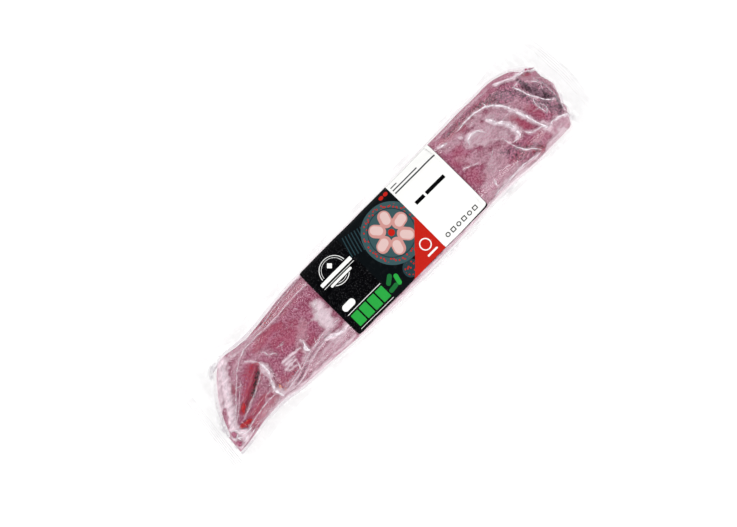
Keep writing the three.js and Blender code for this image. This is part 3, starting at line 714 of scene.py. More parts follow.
def relax(grid, weight, rounds):
    """Draws points towards the middle of their neighbours, as far as their weight allows."""
    for _ in range(rounds):
        middle = (grid[:-2, 1:-1] + grid[2:, 1:-1] + grid[1:-1, :-2] + grid[1:-1, 2:]) / 4
        grid[1:-1, 1:-1] += weight[1:-1, 1:-1, None] * (middle - grid[1:-1, 1:-1])
    return grid


def along_bag(inset=0.0, with_margin=True):
    """Places along the bag: finer over the folded ends than under the label."""
    tail = TAIL_TIP + inset
    head = HEAD_TIP - inset
    tail_turn = np.linspace(0, np.pi / 2, TAIL_TURN_STEPS)
    head_turn = np.linspace(np.pi / 2, 0, HEAD_TURN_STEPS)
    tail_curve = tail + TAIL_ROUNDING * (1 - np.cos(tail_turn))
    head_curve = head - HEAD_ROUNDING * (1 - np.cos(head_turn))
    runs = [
        tail_curve,
        np.linspace(tail_curve[-1], LABEL_START, TAIL_STEPS),
        np.linspace(LABEL_START, LABEL_END, LABEL_STEPS),
        np.linspace(LABEL_END, head_curve[0], HEAD_STEPS),
        head_curve,
    ]
    if with_margin:
        before = np.linspace(-HALF_LENGTH, tail, END_STEPS)
        beyond = np.linspace(head, HALF_LENGTH, END_STEPS)
        runs = [before, *runs, beyond]
    return np.unique(np.round(np.concatenate(runs), 4))


def pleats(x, y, section):
    """Small pleats of the margin, which run away from the meat."""
    beside = np.maximum(np.maximum(y - section.far, section.near - y), 0)
    beyond = np.maximum(np.maximum(TAIL_TIP - x, x - HEAD_TIP), 0)
    outside = np.hypot(beside, beyond)
    at_end = beyond / (beside + beyond + 1)
    folds = mix(layered(x, y, SIDE_PLEATS), layered(x, y, END_PLEATS), at_end)
    in_seal = smoothstep(np.abs(x), HALF_LENGTH - SEAL_WIDTH - 3, HALF_LENGTH - SEAL_WIDTH)
    return PLEAT_HEIGHT * smoothstep(outside, 0, 3) * folds * (1 - in_seal)


def margin(x, section, is_far, inward):
    """The middle of the two films beside the meat. inward is 0 at the bag's edge and 1 at the rim."""
    edge = section.bag_far if is_far else section.bag_near
    rim = section.far + FILLET if is_far else section.near - FILLET
    y = mix(edge, rim, inward)
    wave = MARGIN_WAVE * np.sin(2 * np.pi * x / WAVE_LENGTH)
    return y, section.seam + (wave - section.droop) * (1 - inward)


def between_margins(shape):
    """One over the columns of the meat and zero over those of the margins."""
    mask = np.zeros(shape)
    mask[:, MARGIN_STEPS:-MARGIN_STEPS] = 1
    return mask


def smoothing(x, y, section):
    """How far points of the upper film may be drawn even: most at the meat's rim and across its tips."""
    column = np.arange(y.shape[1])
    from_rim = np.minimum(np.abs(column - MARGIN_STEPS), np.abs(column - MARGIN_STEPS - DOME_STEPS))
    from_tip = np.minimum(np.abs(x - TAIL_TIP), np.abs(x - HEAD_TIP))
    between = (y < section.far + FILLET) & (y > section.near - FILLET)
    near_rim = np.exp(-(from_rim / 3.0) ** 2) * np.ones_like(x)
    near_tip = np.exp(-(from_tip / 2.0) ** 2) * between
    return RIM_SMOOTHING * np.maximum(near_rim, near_tip)


def film_looks(x, y, z, section):
    """How milky the upper film is, with its painted sheen, how juice wets it, and where it lies low beside
    the meat.
    """
    seen_x = cut_end(x, y)
    on_meat = between_margins(y.shape)
    rise = (z - section.seam) * on_meat
    side = down_side(rise, section) * on_meat * smoothstep(section.rounding, 0, 0.4)
    haze = np.maximum(stains_over(seen_x, y, MILK_AND_SHEEN, MILK_AND_SHEEN_SEED), milk_beside(seen_x, y, CREASES))
    haze = mix(haze, SIDE_HAZE + layered(x, z, SIDE_STREAKS), side)
    wet = np.maximum(
        stains_over(seen_x, y, SHADE, SHADE_SEED), 0.8 * stains_over(seen_x, y, BLOOD, BLOOD_SEED))
    wet = np.maximum(wet, stains_over(seen_x, y, SHREDS, SHRED_SEED)) * (1 - side)
    # Low beside the meat the film's milk gets painted shade
    return {"haze": haze, "wet": wet * on_meat, "loose": 1 - smoothstep(rise, 0, 4)}


def film_top(x):
    """The upper film, from the far edge to the near one, and its looks."""
    x = x[:, None]
    section = section_at(x)
    inward = np.linspace(0, 1, MARGIN_STEPS, endpoint=False)
    far = margin(x, section, True, inward)
    dome = on_dome(section, dome_angle(np.linspace(-1, 1, DOME_STEPS + 1), RIM_ANGLE))
    near = margin(x, section, False, inward[::-1])
    y, z = [np.hstack(parts) for parts in zip(far, dome, near)]
    flat_x = np.broadcast_to(x, y.shape)
    seen_x = cut_end(flat_x, y)
    foot = np.clip((z - section.seam) * between_margins(y.shape) / FOLD_FOOT, 0, 1)
    ridges = RIDGE_SHARE * creases_over(seen_x, y, CREASES)
    furrows = FILM_BRIDGING * creases_over(seen_x, y, FURROWS)
    relief = (ridges + furrows + unevenness(flat_x, y)) * foot
    grid = np.stack([flat_x, y, z + FILM_THICKNESS / 2], -1)
    grid += relief[..., None] * facing(grid)
    grid[..., 2] += pleats(flat_x, y, section) * (1 - foot)
    grid = relax(grid, smoothing(x, y, section), SMOOTHING_ROUNDS)
    grid[..., 0] = cut_end(grid[..., 0], y)
    return grid, film_looks(flat_x, y, z, section)


def film_under(x):
    """The lower film, from the near edge to the far one."""
    x = x[:, None]
    section = section_at(x)
    inward = np.linspace(0, 1, MARGIN_STEPS, endpoint=False)
    across = np.sin(np.linspace(-np.pi / 2, np.pi / 2, UNDER_STEPS + 1))
    middle, half = middle_and_half(section)
    near = margin(x, section, False, inward)
    under = middle + half * across, mix(section.seam, section.seam * rim_lift(across), section.rounding)
    far = margin(x, section, True, inward[::-1])
    y, z = [np.hstack(parts) for parts in zip(near, under, far)]
    flat_x = np.broadcast_to(x, y.shape)
    under_meat = between_margins(y.shape) * section.rounding
    z = z + (UNDER_LIFT + layered(flat_x, y, UNDER_WRINKLES)) * under_meat
    z = z - FILM_THICKNESS / 2 * (1 - under_meat)
    z = z + pleats(flat_x, y, section) * (1 - under_meat)
    return np.stack([cut_end(flat_x, y), y, z], -1)


def new_object(name, data):
    """An object in the scene with the given data."""
    thing = bpy.data.objects.new(name, data)
    bpy.context.scene.collection.objects.link(thing)
    return thing


def mesh_object(name, points, faces, material, uv=None):
    """A smooth mesh in metres, at the origin."""
    mesh = bpy.data.meshes.new(name)
    mesh.from_pydata((np.asarray(points) * MM).tolist(), [], faces)
    mesh.shade_smooth()
    if uv is not None:
        layer = mesh.uv_layers.new(name="print")
        corner = np.empty(len(mesh.loops), int)
        mesh.loops.foreach_get("vertex_index", corner)
        layer.uv.foreach_set("vector", np.asarray(uv, np.float32)[corner].ravel())
    mesh.materials.append(material)
    return new_object(name, mesh)


def numbered(grid):
    """The numbers of a grid's points, row after row."""
    rows, columns = grid.shape[:2]
    return np.arange(rows * columns).reshape(rows, columns)


def ring_faces(ids):
    """Faces between the rows of a grid whose columns go round a closed section."""
    beside = np.roll(ids, -1, axis=1)
    quads = np.stack([ids[:-1], beside[:-1], beside[1:], ids[1:]], -1)
    return quads.reshape(-1, 4).tolist()


def closed_faces(grid):
    """The faces of a closed skin: round its sections, and one across each end."""
    ids = numbered(grid)
    return [*ring_faces(ids), ids[0, ::-1].tolist(), ids[-1].tolist()]


def set_attribute(thing, name, values):
    """A number for each of a mesh's points, for materials and geometry nodes to read."""
    attribute = thing.data.attributes.new(name, "FLOAT", "POINT")
    attribute.data.foreach_set("value", np.asarray(values, np.float32).ravel())


class Tree:
    """Shorthand for adding nodes to a node tree and joining their sockets."""

    def __init__(self, tree):
        self.tree = tree

    def add(self, kind, inputs=None, **settings):
        node = self.tree.nodes.new(kind)
        for setting, value in settings.items():
            setattr(node, setting, value)
        for socket, value in (inputs or {}).items():
            self.feed(node.inputs[socket], value)
        return node

    def feed(self, socket, value):
        if isinstance(value, bpy.types.NodeSocket):
            self.tree.links.new(value, socket)
        else:
            socket.default_value = value

    def math(self, operation, a, b=0.0, clamp=False):
        node = self.add("ShaderNodeMath", {0: a, 1: b}, operation=operation, use_clamp=clamp)
        return node.outputs[0]

    def plus(self, a, b, clamp=False):
        return self.math("ADD", a, b, clamp)

    def minus(self, a, b):
        return self.math("SUBTRACT", a, b)

    def times(self, a, b, clamp=False):
        return self.math("MULTIPLY", a, b, clamp)

    def over(self, a, b):
        return self.math("DIVIDE", a, b)

    def vector(self, operation, a, b=(0.0, 0.0, 0.0)):
        node = self.add("ShaderNodeVectorMath", {0: a, 1: b}, operation=operation)
        return node.outputs["Value" if operation == "LENGTH" else "Vector"]

    def colour(self, share, start, end):
        """Mixes two colours, on the sockets that a mix node has for them."""
        return self.add("ShaderNodeMix", {0: share, 6: start, 7: end}, data_type="RGBA").outputs[2]

    def between(self, value, low, high, out_low=0.0, out_high=1.0):
        sockets = {"Value": value, "From Min": low, "From Max": high, "To Min": out_low, "To Max": out_high}
        return self.add("ShaderNodeMapRange", sockets, interpolation_type="SMOOTHSTEP").outputs[0]

    def noise(self, place, scale, detail=2.0, roughness=0.5):
        sockets = {"Vector": place, "Scale": scale, "Detail": detail, "Roughness": roughness}
        return self.add("ShaderNodeTexNoise", sockets).outputs["Fac"]

    def group(self, group, inputs):
        node = self.add("ShaderNodeGroup", node_tree=group)
        for socket, value in inputs.items():
            self.feed(node.inputs[socket], value)
        return node.outputs

    def attribute(self, name):
        return self.add("ShaderNodeAttribute", attribute_name=name).outputs["Fac"]


# The kind of socket that a value needs. A socket without a value has the name of its kind instead
SOCKET_KINDS = {float: "Float", int: "Int", tuple: "Vector"}


def new_group(name, inputs, outputs, kind="ShaderNodeTree"):
    """A node group with named sockets. Returns it, its tree, and its input and output nodes."""
    group = bpy.data.node_groups.new(name, kind)
    for socket, value in inputs.items():
        socket_kind = SOCKET_KINDS.get(type(value), value)
        made = group.interface.new_socket(socket, in_out="INPUT", socket_type=f"NodeSocket{socket_kind}")
        if type(value) in SOCKET_KINDS:
            made.default_value = value
    for socket, socket_kind in outputs.items():
        group.interface.new_socket(socket, in_out="OUTPUT", socket_type=f"NodeSocket{socket_kind}")
    tree = Tree(group)
    return group, tree, tree.add("NodeGroupInput").outputs, tree.add("NodeGroupOutput").inputs


def new_material(name, **constants):
    """A material with one Principled shader, whose even values are set on its own sockets."""
    material = bpy.data.materials.new(name)
    material.use_nodes = True
    shader = material.node_tree.nodes["Principled BSDF"]
    for socket, value in constants.items():
        shader.inputs[socket.replace("_", " ")].default_value = value
    return material, Tree(material.node_tree), shader.inputs


def as_seen(red, green, blue):
    """The shader value that looks like a screen colour, from 0 to 255, in the scene's strong light."""
    shares = [value / 255 for value in (red, green, blue)]
    linear = [share / 12.92 if share <= 0.04045 else ((share + 0.055) / 1.055) ** 2.4 for share in shares]
    return (*[value / WHITE_LEVEL for value in linear], 1.0)


def place_on_piece(tree):
    """Places on a piece in millimetres."""
    here = tree.add("ShaderNodeTexCoord").outputs["Object"]
    scale = (1 / MM, 1 / MM, 1 / MM)
    return tree.add("ShaderNodeMapping", {"Vector": here, "Scale": scale}).outputs[0]


def mottle_group():
    """Soft blotches: a coarse and a fine noise together, from 0 to 1."""
    inputs = {"Place": (0, 0, 0), "Size": 10.0, "Stretch": (1, 1, 1), "Contrast": 1.0}
    group, tree, given, made = new_group("soft_mottle", inputs, {"Value": "Float"})
    scaled = tree.vector("MULTIPLY", given["Place"], given["Stretch"])
    rate = tree.over(1.0, given["Size"])
    coarse = tree.noise(scaled, rate, 2.0, 0.5)
    fine = tree.noise(scaled, tree.times(rate, 4.3), 3.0, 0.6)
    both = tree.plus(tree.times(coarse, 0.65), tree.times(fine, 0.35))
    contrast = tree.times(given["Contrast"], 3.0)
    spread = tree.times(tree.minus(both, 0.5), contrast)
    tree.feed(made["Value"], tree.plus(spread, 0.5, clamp=True))
    return group


def crinkle_group():
    """The fine sharp crinkles of a thin film drawn tight: ridges where a noise crosses its middle."""
    inputs = {"Place": (0, 0, 0), "Size": 6.0}
    group, tree, given, made = new_group("film_crinkle", inputs, {"Height": "Float"})
    rate = tree.over(1.0, given["Size"])
    heights = []
    for finer, amount in ((1.0, 0.7), (2.7, 0.3)):
        wave = tree.noise(given["Place"], tree.times(rate, finer), 1.0, 0.4)
        off = tree.math("ABSOLUTE", tree.minus(wave, 0.5))
        ridge = tree.between(off, 0.0, 0.09, 1.0, 0.0)
        heights.append(tree.times(ridge, amount))
    tree.feed(made["Height"], tree.plus(*heights))
    return group


def patch_group():
    """The mask of a printed rounded rectangle or disc, filled or as a line, once or in a row."""
    inputs = {
        "Place": (0, 0, 0), "Centre": (0, 0, 0), "Turn": (0, 0, 0), "Half Size": (1, 1, 0),
        "Corner": 0.0, "Half Line": 50.0, "Step": 1.0, "Last Copy": 0.0,
    }
    group, tree, given, made = new_group("printed_patch", inputs, {"Mask": "Float"})
    sockets = {"Vector": given["Place"], "Location": given["Centre"], "Rotation": given["Turn"]}
    turned = tree.add("ShaderNodeMapping", sockets, vector_type="TEXTURE").outputs[0]
    across, up, _ = tree.add("ShaderNodeSeparateXYZ", {0: turned}).outputs
    copy = tree.math("ROUND", tree.over(across, given["Step"]))
    copy = tree.math("MINIMUM", tree.math("MAXIMUM", copy, 0.0), given["Last Copy"])
    across = tree.minus(across, tree.times(copy, given["Step"]))
    turned = tree.add("ShaderNodeCombineXYZ", {0: across, 1: up}).outputs[0]
    beyond = tree.vector("SUBTRACT", tree.vector("ABSOLUTE", turned), given["Half Size"])
    sides = tree.add("ShaderNodeSeparateXYZ", {0: beyond}).outputs
    inside = tree.math("MINIMUM", tree.math("MAXIMUM", sides["X"], sides["Y"]), 0.0)
    reach = tree.vector("LENGTH", tree.vector("MAXIMUM", beyond))
    off = tree.minus(tree.plus(reach, inside), given["Corner"])
    off = tree.math("ABSOLUTE", tree.plus(off, given["Half Line"]))
    off = tree.minus(off, given["Half Line"])
    tree.feed(made["Mask"], tree.between(off, -0.09, 0.09, 1.0, 0.0))
    return group


def ring_group():
    """Folds places round a centre into one sector, so that a shape there is printed all round it."""
    inputs = {"Place": (0, 0, 0), "Centre": (0, 0, 0), "Sector": 1.0, "Turn": 0.0}
    group, tree, given, made = new_group("printed_ring", inputs, {"Place": "Vector"})
    off = tree.vector("SUBTRACT", given["Place"], given["Centre"])
    sides = tree.add("ShaderNodeSeparateXYZ", {0: off}).outputs
    angle = tree.minus(tree.math("ARCTAN2", sides["Y"], sides["X"]), given["Turn"])
    sector = tree.math("ROUND", tree.over(angle, given["Sector"]))
    angle = tree.times(sector, given["Sector"])
    back = tree.times(tree.plus(angle, given["Turn"]), -1.0)
    turned = tree.add("ShaderNodeVectorRotate", {"Vector": off, "Angle": back}, rotation_type="Z_AXIS")
    tree.feed(made["Place"], turned.outputs[0])
    return group


MOTTLE = mottle_group()
CRINKLE = crinkle_group()
PATCH = patch_group()
RING = ring_group()


def mottle(tree, place, size, contrast, stretch=1.0):
    """Soft blotches of a size in millimetres. A stretch below 1 makes them longer along the pack."""
    sockets = {"Place": place, "Size": size, "Stretch": (stretch, 1, 1), "Contrast": contrast}
    return tree.group(MOTTLE, sockets)["Value"]


def crinkles(tree, place, size):
    """Heights of fine crinkles of a size in millimetres."""
    return tree.group(CRINKLE, {"Place": place, "Size": size})["Height"]


def bump(tree, height, distance):
    """Normals of a relief that stands as high as distance, in millimetres."""
    return tree.add("ShaderNodeBump", {"Height": height, "Distance": distance * MM}).outputs[0]


def film_material():
    """Clear film: a faint mirror where it clings, milky where it has lifted, clear where juice wets it.
    Its milk also holds painted sheen, and is greyer low beside the meat as painted shade.
    """
    material, tree, shader = new_material("clear_film", IOR=1.5)
    place = place_on_piece(tree)
    streaks = mottle(tree, place, 3.0, 1.6, stretch=0.35)
    clouds = mottle(tree, place, 14.0, 1.5)
    crinkle = crinkles(tree, place, 8.0)
    broken = tree.plus(tree.times(streaks, 0.7), 0.65)
    haze = tree.times(tree.attribute("haze"), broken)
    haze = tree.plus(haze, tree.times(clouds, 0.04))
    edge_on = tree.add("ShaderNodeLayerWeight", {"Blend": 0.2}).outputs["Fresnel"]
    alpha = tree.plus(tree.times(edge_on, 0.1), 0.035)
    alpha = tree.plus(alpha, haze, clamp=True)
    dry = tree.minus(1.0, tree.times(tree.attribute("wet"), 0.85))
    tree.feed(shader["Alpha"], tree.times(alpha, dry))
    milky = tree.between(haze, 0.02, 0.2)
    # Painted shade: the milk is greyer low beside the meat
    milk = tree.colour(tree.attribute("loose"), as_seen(250, 225, 236), as_seen(200, 193, 201))
    tree.feed(shader["Base Color"], tree.colour(milky, as_seen(250, 250, 252), milk))
    tree.feed(shader["Metallic"], tree.times(tree.minus(1.0, milky), 0.9))
    tree.feed(shader["Roughness"], tree.between(clouds, 0.0, 1.0, 0.14, 0.26))
    tree.feed(shader["Normal"], bump(tree, crinkle, 0.2))
    return material


def pinched_material():
    """Film pinched to itself along a crease: milky, in streaks that follow the crease, and its white is
    also a painted highlight of the crease's glints.
    """
    material, tree, shader = new_material("pinched_film", Base_Color=as_seen(252, 240, 248), IOR=1.5)
    across = tree.attribute("across")
    lengthwise = tree.times(tree.attribute("along"), 0.3)
    streak_place = tree.add("ShaderNodeCombineXYZ", {0: lengthwise, 1: across}).outputs[0]
    streaks = mottle(tree, streak_place, 0.9, 1.8)
    fleck = mottle(tree, place_on_piece(tree), 2.4, 1.8)
    milk = tree.plus(tree.times(streaks, 0.9), tree.times(fleck, 0.9))
    milk = tree.minus(milk, 0.05)
    side = tree.math("ABSOLUTE", across)
    milk = tree.times(milk, tree.between(side, 0.45, 1.0, 1.0, 0.12))
    alpha = tree.times(tree.attribute("haze"), milk, clamp=True)
    tree.feed(shader["Alpha"], alpha)
    tree.feed(shader["Roughness"], tree.between(fleck, 0.0, 1.0, 0.12, 0.3))
    tree.feed(shader["Normal"], bump(tree, streaks, 0.15))
    return material


def meat_material():
    """Raw pork under its clinging film: mottled flesh with lengthwise fibres, a wet shine and painted
    shade.
    """
    material, tree, shader = new_material("raw_pork", Specular_IOR_Level=0.12, Coat_Roughness=0.22)
    place = place_on_piece(tree)
    blotch = mottle(tree, place, 13.0, 1.4, stretch=0.6)
    fibre = mottle(tree, place, 1.5, 1.5, stretch=0.3)
    speck = mottle(tree, place, 1.8, 1.9)
    stipple = mottle(tree, place, 1.2, 3.0)
    flesh = tree.colour(blotch, as_seen(148, 51, 90), as_seen(178, 96, 128))
    flesh = tree.colour(tree.times(fibre, 0.26), flesh, as_seen(198, 128, 152))
    flesh = tree.colour(tree.between(speck, 0.4, 0.0, 0.0, 0.5), flesh, as_seen(144, 36, 70))
    flesh = tree.colour(tree.between(stipple, 0.5, 0.0, 0.0, 0.5), flesh, as_seen(120, 30, 62))
    flesh = tree.colour(tree.between(stipple, 0.5, 1.0, 0.0, 0.4), flesh, as_seen(216, 160, 182))
    blood = tree.attribute("blood")
    bloody = tree.times(blood, tree.between(stipple, 0.0, 1.0, 0.5, 0.95))
    flesh = tree.colour(bloody, flesh, as_seen(162, 20, 56))
    fatty = tree.times(tree.attribute("fat"), tree.between(fibre, 0.0, 0.7, 0.55, 1.0))
    flesh = tree.colour(fatty, flesh, as_seen(240, 226, 232))
    # Painted shade where the shade attribute is, in stipples over darker flesh, darkest in the bloody slit
    shade = tree.attribute("shade")
    patchy = tree.minus(tree.times(shade, 1.25), tree.times(stipple, 0.95))
    painted_shade_colour = tree.colour(speck, as_seen(62, 36, 50), as_seen(148, 108, 126))
    painted_shade_colour = tree.colour(blood, painted_shade_colour, as_seen(24, 0, 8))
    depth = tree.times(tree.between(patchy, 0.0, 0.35), tree.between(shade, 0.0, 0.9, 0.35, 1.0))
    tree.feed(shader["Base Color"], tree.colour(depth, flesh, painted_shade_colour))
    tree.feed(shader["Roughness"], tree.between(blotch, 0.0, 1.0, 0.4, 0.6))
    gloss = mottle(tree, place, 22.0, 1.2)
    gloss = tree.between(gloss, 0.0, 1.0, 0.12, 0.5)
    tree.feed(shader["Coat Weight"], tree.times(gloss, tree.minus(1.0, shade)))
    relief = tree.plus(tree.times(fibre, 0.5), tree.times(crinkles(tree, place, 4.0), 0.12))
    tree.feed(shader["Normal"], bump(tree, relief, 0.2))
    return material


def juice_material():
    """Red meat juice, wet and nearly opaque. It is yellower where its attribute says so."""
    material, tree, shader = new_material("meat_juice", Specular_IOR_Level=0.2, Coat_Weight=0.4)
    speck = mottle(tree, place_on_piece(tree), 1.6, 1.3)
    juice = tree.colour(speck, as_seen(146, 4, 24), as_seen(200, 40, 50))
    tree.feed(shader["Base Color"], tree.colour(tree.attribute("haze"), juice, as_seen(236, 150, 104)))
    tree.feed(shader["Roughness"], tree.between(speck, 0.0, 1.0, 0.1, 0.3))
    return material


BLACK = as_seen(2, 2, 4)
SLATE = as_seen(9, 14, 17)
WHITE = as_seen(250, 250, 248)
GREY = as_seen(74, 74, 77)
GREEN = as_seen(44, 168, 68)
LEAF = as_seen(30, 112, 54)
RED = as_seen(196, 34, 24)
TEAL = as_seen(60, 88, 92)
DARK_TEAL = as_seen(38, 62, 68)
ROSE = as_seen(206, 148, 142)
PALE_ROSE = as_seen(226, 194, 190)

# A printed shape, placed as seen from above on the pack. A corner of half its size makes a disc.
# line is the width of an outline, and none fills the shape. Copies follow each other at each step.
# dotted prints dots within the shape only. on_plate puts it round the plate, from the plate's middle.
Print = namedtuple(
    "Print", "ink x y width height corner turn line copies step dotted on_plate",
    defaults=(0.0, 0.0, None, 1, 1.0, False, False))
PLATE_X, PLATE_Y = 13.0, 1.5
SLICES = 6


def label_prints():
    """The label's plain shapes, from the lowest layer up."""
    plate = (PLATE_X, PLATE_Y)
    return [
        # A slate field with a ring of pale ovals on a round plate, and small shapes beside it
        Print(SLATE, 8, -3, 48.4, 90),
        Print(DARK_TEAL, -15.5, 17, 0.8, 15, 0.3, -16, copies=7, step=2.4),
        Print(DARK_TEAL, 5.5, -25, 12.4, 12.4, 6.2),
        Print(RED, 5.5, -25, 9.5, 9.5, 4.7, dotted=True),
        Print(TEAL, *plate, 42, 42, 21),
        Print(RED, *plate, 39, 39, 19.5, line=3.4, dotted=True),
        Print(DARK_TEAL, *plate, 33, 33, 16.5, line=0.8),
        Print(ROSE, 9.6, 0, 12, 8.8, 4.4, on_plate=True),
        Print(PALE_ROSE, 10.1, -0.5, 9, 5.8, 2.9, on_plate=True),
        Print(RED, *plate, 4.6, 4.6, 2.3),
        Print(LEAF, -11, -19, 8, 3.2, 1.6, 35),
        Print(GREEN, -6.5, -23, 8, 3.2, 1.6, 75),
        Print(LEAF, -12.5, -25, 8, 3.2, 1.6, 5),
        Print(RED, 24.5, 23, 3.6, 3.6, 1.8, copies=2, step=4),
        # The red, white and black fields
        Print(RED, 37.9, -37.6, 60, 60, 0.0, 45),
        Print(BLACK, 22.5, -32.3, 22, 1.6),
        Print(WHITE, 23.6, -20.5, 8.4, 8.4, 4.2, line=0.8),
        Print(WHITE, 23.6, -27.5, 9, 1.5, 0.7),
        Print(BLACK, 54, -3, 43.6, 90),
        Print(WHITE, 52.3, 14.5, 40.2, 91, 3.2),
        Print(WHITE, 40, 14.5, 15.6, 91),
        # A thin grey line along the white field's far edge: painted shade at the label's edge
        Print(GREY, 50, 25.7, 40, 0.35),
        # A ring with bars across it
        Print(WHITE, -32.9, 12, 20.8, 20.8, 10.4, line=0.5),
        Print(WHITE, -32.9, 12, 17.6, 17.6, 8.8, line=0.3),
        Print(BLACK, -32.7, 8.4, 29, 8.6),
        Print(WHITE, -32.7, 10.3, 28, 2.6, 0.4),
        Print(WHITE, -32.7, 7.4, 28, 0.35),
        Print(WHITE, -32.7, 5.4, 19, 1.7, 0.8),
        Print(WHITE, -32.9, 16.4, 3.4, 3.4, 0.3, 45),
        # Green blocks between lines
        Print(WHITE, -42.5, -11.6, 10.5, 4.8, 2.4),
        Print(WHITE, -32.5, -16.3, 30.6, 0.4),
        Print(WHITE, -32.5, -29.2, 30.6, 0.4),
        Print(GREEN, -43.8, -22.8, 6.4, 9.6, 0.5, copies=4, step=7.6),
        # Bars and signs on the white field
        Print(GREY, 36.6, 23.0, 5.6, 1.0),
        Print(GREY, 45.0, 20.8, 22.5, 1.0),
        Print(GREY, 52.3, 18.5, 37, 1.1),
        Print(BLACK, 42.6, 4, 8, 2.6, 0.3),
        Print(BLACK, 57, 4, 17, 2.6, 0.3),
        Print(BLACK, 39.2, -26.4, 3.6, 3.6, 1.8, line=0.75, copies=3, step=10.2),
        Print(BLACK, 44.3, -26.4, 3.6, 3.6, 0.4, line=0.75, copies=3, step=10.2),
    ]


def label_material(length, width, along_at, across_at):
    """Coated paper with its print. along_at and across_at give a shape's place on the label."""
    material, tree, shader = new_material("printed_paper", Specular_IOR_Level=0.015)
    spot = tree.add("ShaderNodeUVMap", uv_map="print").outputs[0]
    place = tree.add("ShaderNodeMapping", {"Vector": spot, "Scale": (length, width, 1)}).outputs[0]
    plate = (along_at(PLATE_X) - LABEL_START, across_at(PLATE_Y), 0)
    sockets = {"Place": place, "Centre": plate, "Sector": 2 * math.pi / SLICES, "Turn": 0.2}
    round_plate = tree.group(RING, sockets)["Place"]
    cells = tree.add("ShaderNodeTexVoronoi", {"Vector": place, "Scale": 0.4}, voronoi_dimensions="2D")
    dots = tree.between(cells.outputs["Distance"], 0.18, 0.3, 1.0, 0.0)
    crumbs = mottle(tree, place, 1.0, 1.7)
    colour = tree.colour(tree.between(crumbs, 0.86, 1.0, 0.0, 0.5), BLACK, GREY)
    for item in label_prints():
        round_off = min(item.corner, item.width / 2, item.height / 2)
        on_label = along_at(item.x) - LABEL_START, across_at(item.y), 0
        sockets = {
            "Place": round_plate if item.on_plate else place,
            "Centre": (item.x, item.y, 0) if item.on_plate else on_label,
            "Turn": (0, 0, math.radians(item.turn)),
            "Half Size": (item.width / 2 - round_off, item.height / 2 - round_off, 0),
            "Corner": round_off,
            "Half Line": 50.0 if item.line is None else item.line / 2,
            "Step": item.step,
            "Last Copy": item.copies - 1.0,
        }
        mask = tree.group(PATCH, sockets)["Mask"]
        if item.dotted:
            mask = tree.times(mask, dots)
        colour = tree.colour(mask, colour, item.ink)
    grain = mottle(tree, place, 3.0, 1.4)
    colour = tree.colour(tree.between(grain, 0.6, 1.0, 0.0, 0.006), colour, as_seen(200, 205, 208))
    tree.feed(shader["Base Color"], colour)
    tree.feed(shader["Roughness"], tree.between(grain, 0.0, 1.0, 0.5, 0.62))
    tree.feed(shader["Normal"], bump(tree, grain, 0.03))
    return material


def floor_material():
    """A white table that glows a little, so that it stays as white as in a cut-out picture."""
    material, tree, shader = new_material("pale_floor", Roughness=0.85, Emission_Strength=0.69)
    shader["Emission Color"].default_value = (1, 1, 1, 1)
    speck = mottle(tree, place_on_piece(tree), 60.0, 0.6)
    tree.feed(shader["Base Color"], tree.colour(speck, (0.3, 0.3, 0.3, 1), (0.32, 0.32, 0.32, 1)))
    return material


def make_film(material):
    """Both films as one closed skin round the meat."""
    x = along_bag()
    top, looks = film_top(x)
    under = film_under(x)
    grid = np.concatenate([top, under], axis=1)
    film = mesh_object("vacuum_film", grid.reshape(-1, 3), closed_faces(grid), material)
    for name, values in looks.items():
        set_attribute(film, name, np.concatenate([values, np.zeros(under.shape[:2])], axis=1))
    return film


def make_meat(material):
    """The tenderloin, a little inside the film, with its own furrows, blood, fat and painted shade."""
    x = along_bag(MEAT_INSET, with_margin=False)[:, None]
    section = section_at(x, MEAT_INSET)
    angle = dome_angle(np.linspace(-1, 1, MEAT_STEPS + 1), np.pi / 2)
    y, top = on_dome(section, angle)
    lift = rim_lift(full_power(np.sin(angle[1:-1])))
    clearance = MEAT_INSET + UNDER_GAP
    under = mix(section.seam, section.seam * lift + clearance * (1 - lift), section.rounding)
    flat_x = np.broadcast_to(x, y.shape)
    upper = np.stack([flat_x, y, top], -1)
    foot = np.clip((top - section.seam) / FOLD_FOOT, 0, 1)
    furrows = creases_over(cut_end(flat_x, y), y, FURROWS)
    grooves = -layered(flat_x, y, MEAT_GROOVES) - sum(layer[0] for layer in MEAT_GROOVES)
    relief = (furrows + grooves + unevenness(flat_x, y)) * foot
    upper = upper + relief[..., None] * facing(upper)
    lower = np.stack([flat_x[:, 1:-1], y[:, 1:-1], under], -1)[:, ::-1]
    grid = np.concatenate([upper, lower], axis=1)
    ids = numbered(grid)
    # At both tips the underside has no points of its own: it meets the top in one edge
    for row in (0, -1):
        ids[row, MEAT_STEPS + 1:] = ids[row, MEAT_STEPS - 1:0:-1]
        grid[row, MEAT_STEPS + 1:] = grid[row, MEAT_STEPS - 1:0:-1]
    used, compact = np.unique(ids, return_inverse=True)
    faces = ring_faces(compact.reshape(ids.shape))
    points = grid.reshape(-1, 3)[used]
    points[:, 0] = cut_end(points[:, 0], points[:, 1])
    meat = mesh_object("tenderloin", points, faces, material)
    seen = np.hstack([1 - down_side(top - section.seam, section), np.zeros(under.shape)])
    seen = seen.reshape(-1)[used]
    # Blood and fat colour the meat, and shade is painted shade
    marks_and_shade = [("blood", BLOOD, BLOOD_SEED), ("fat", FAT, FAT_SEED), ("shade", SHADE, SHADE_SEED)]
    for name, stains, seed in marks_and_shade:
        set_attribute(meat, name, stains_over(points[:, 0], points[:, 1], stains, seed) * seen)
    return meat


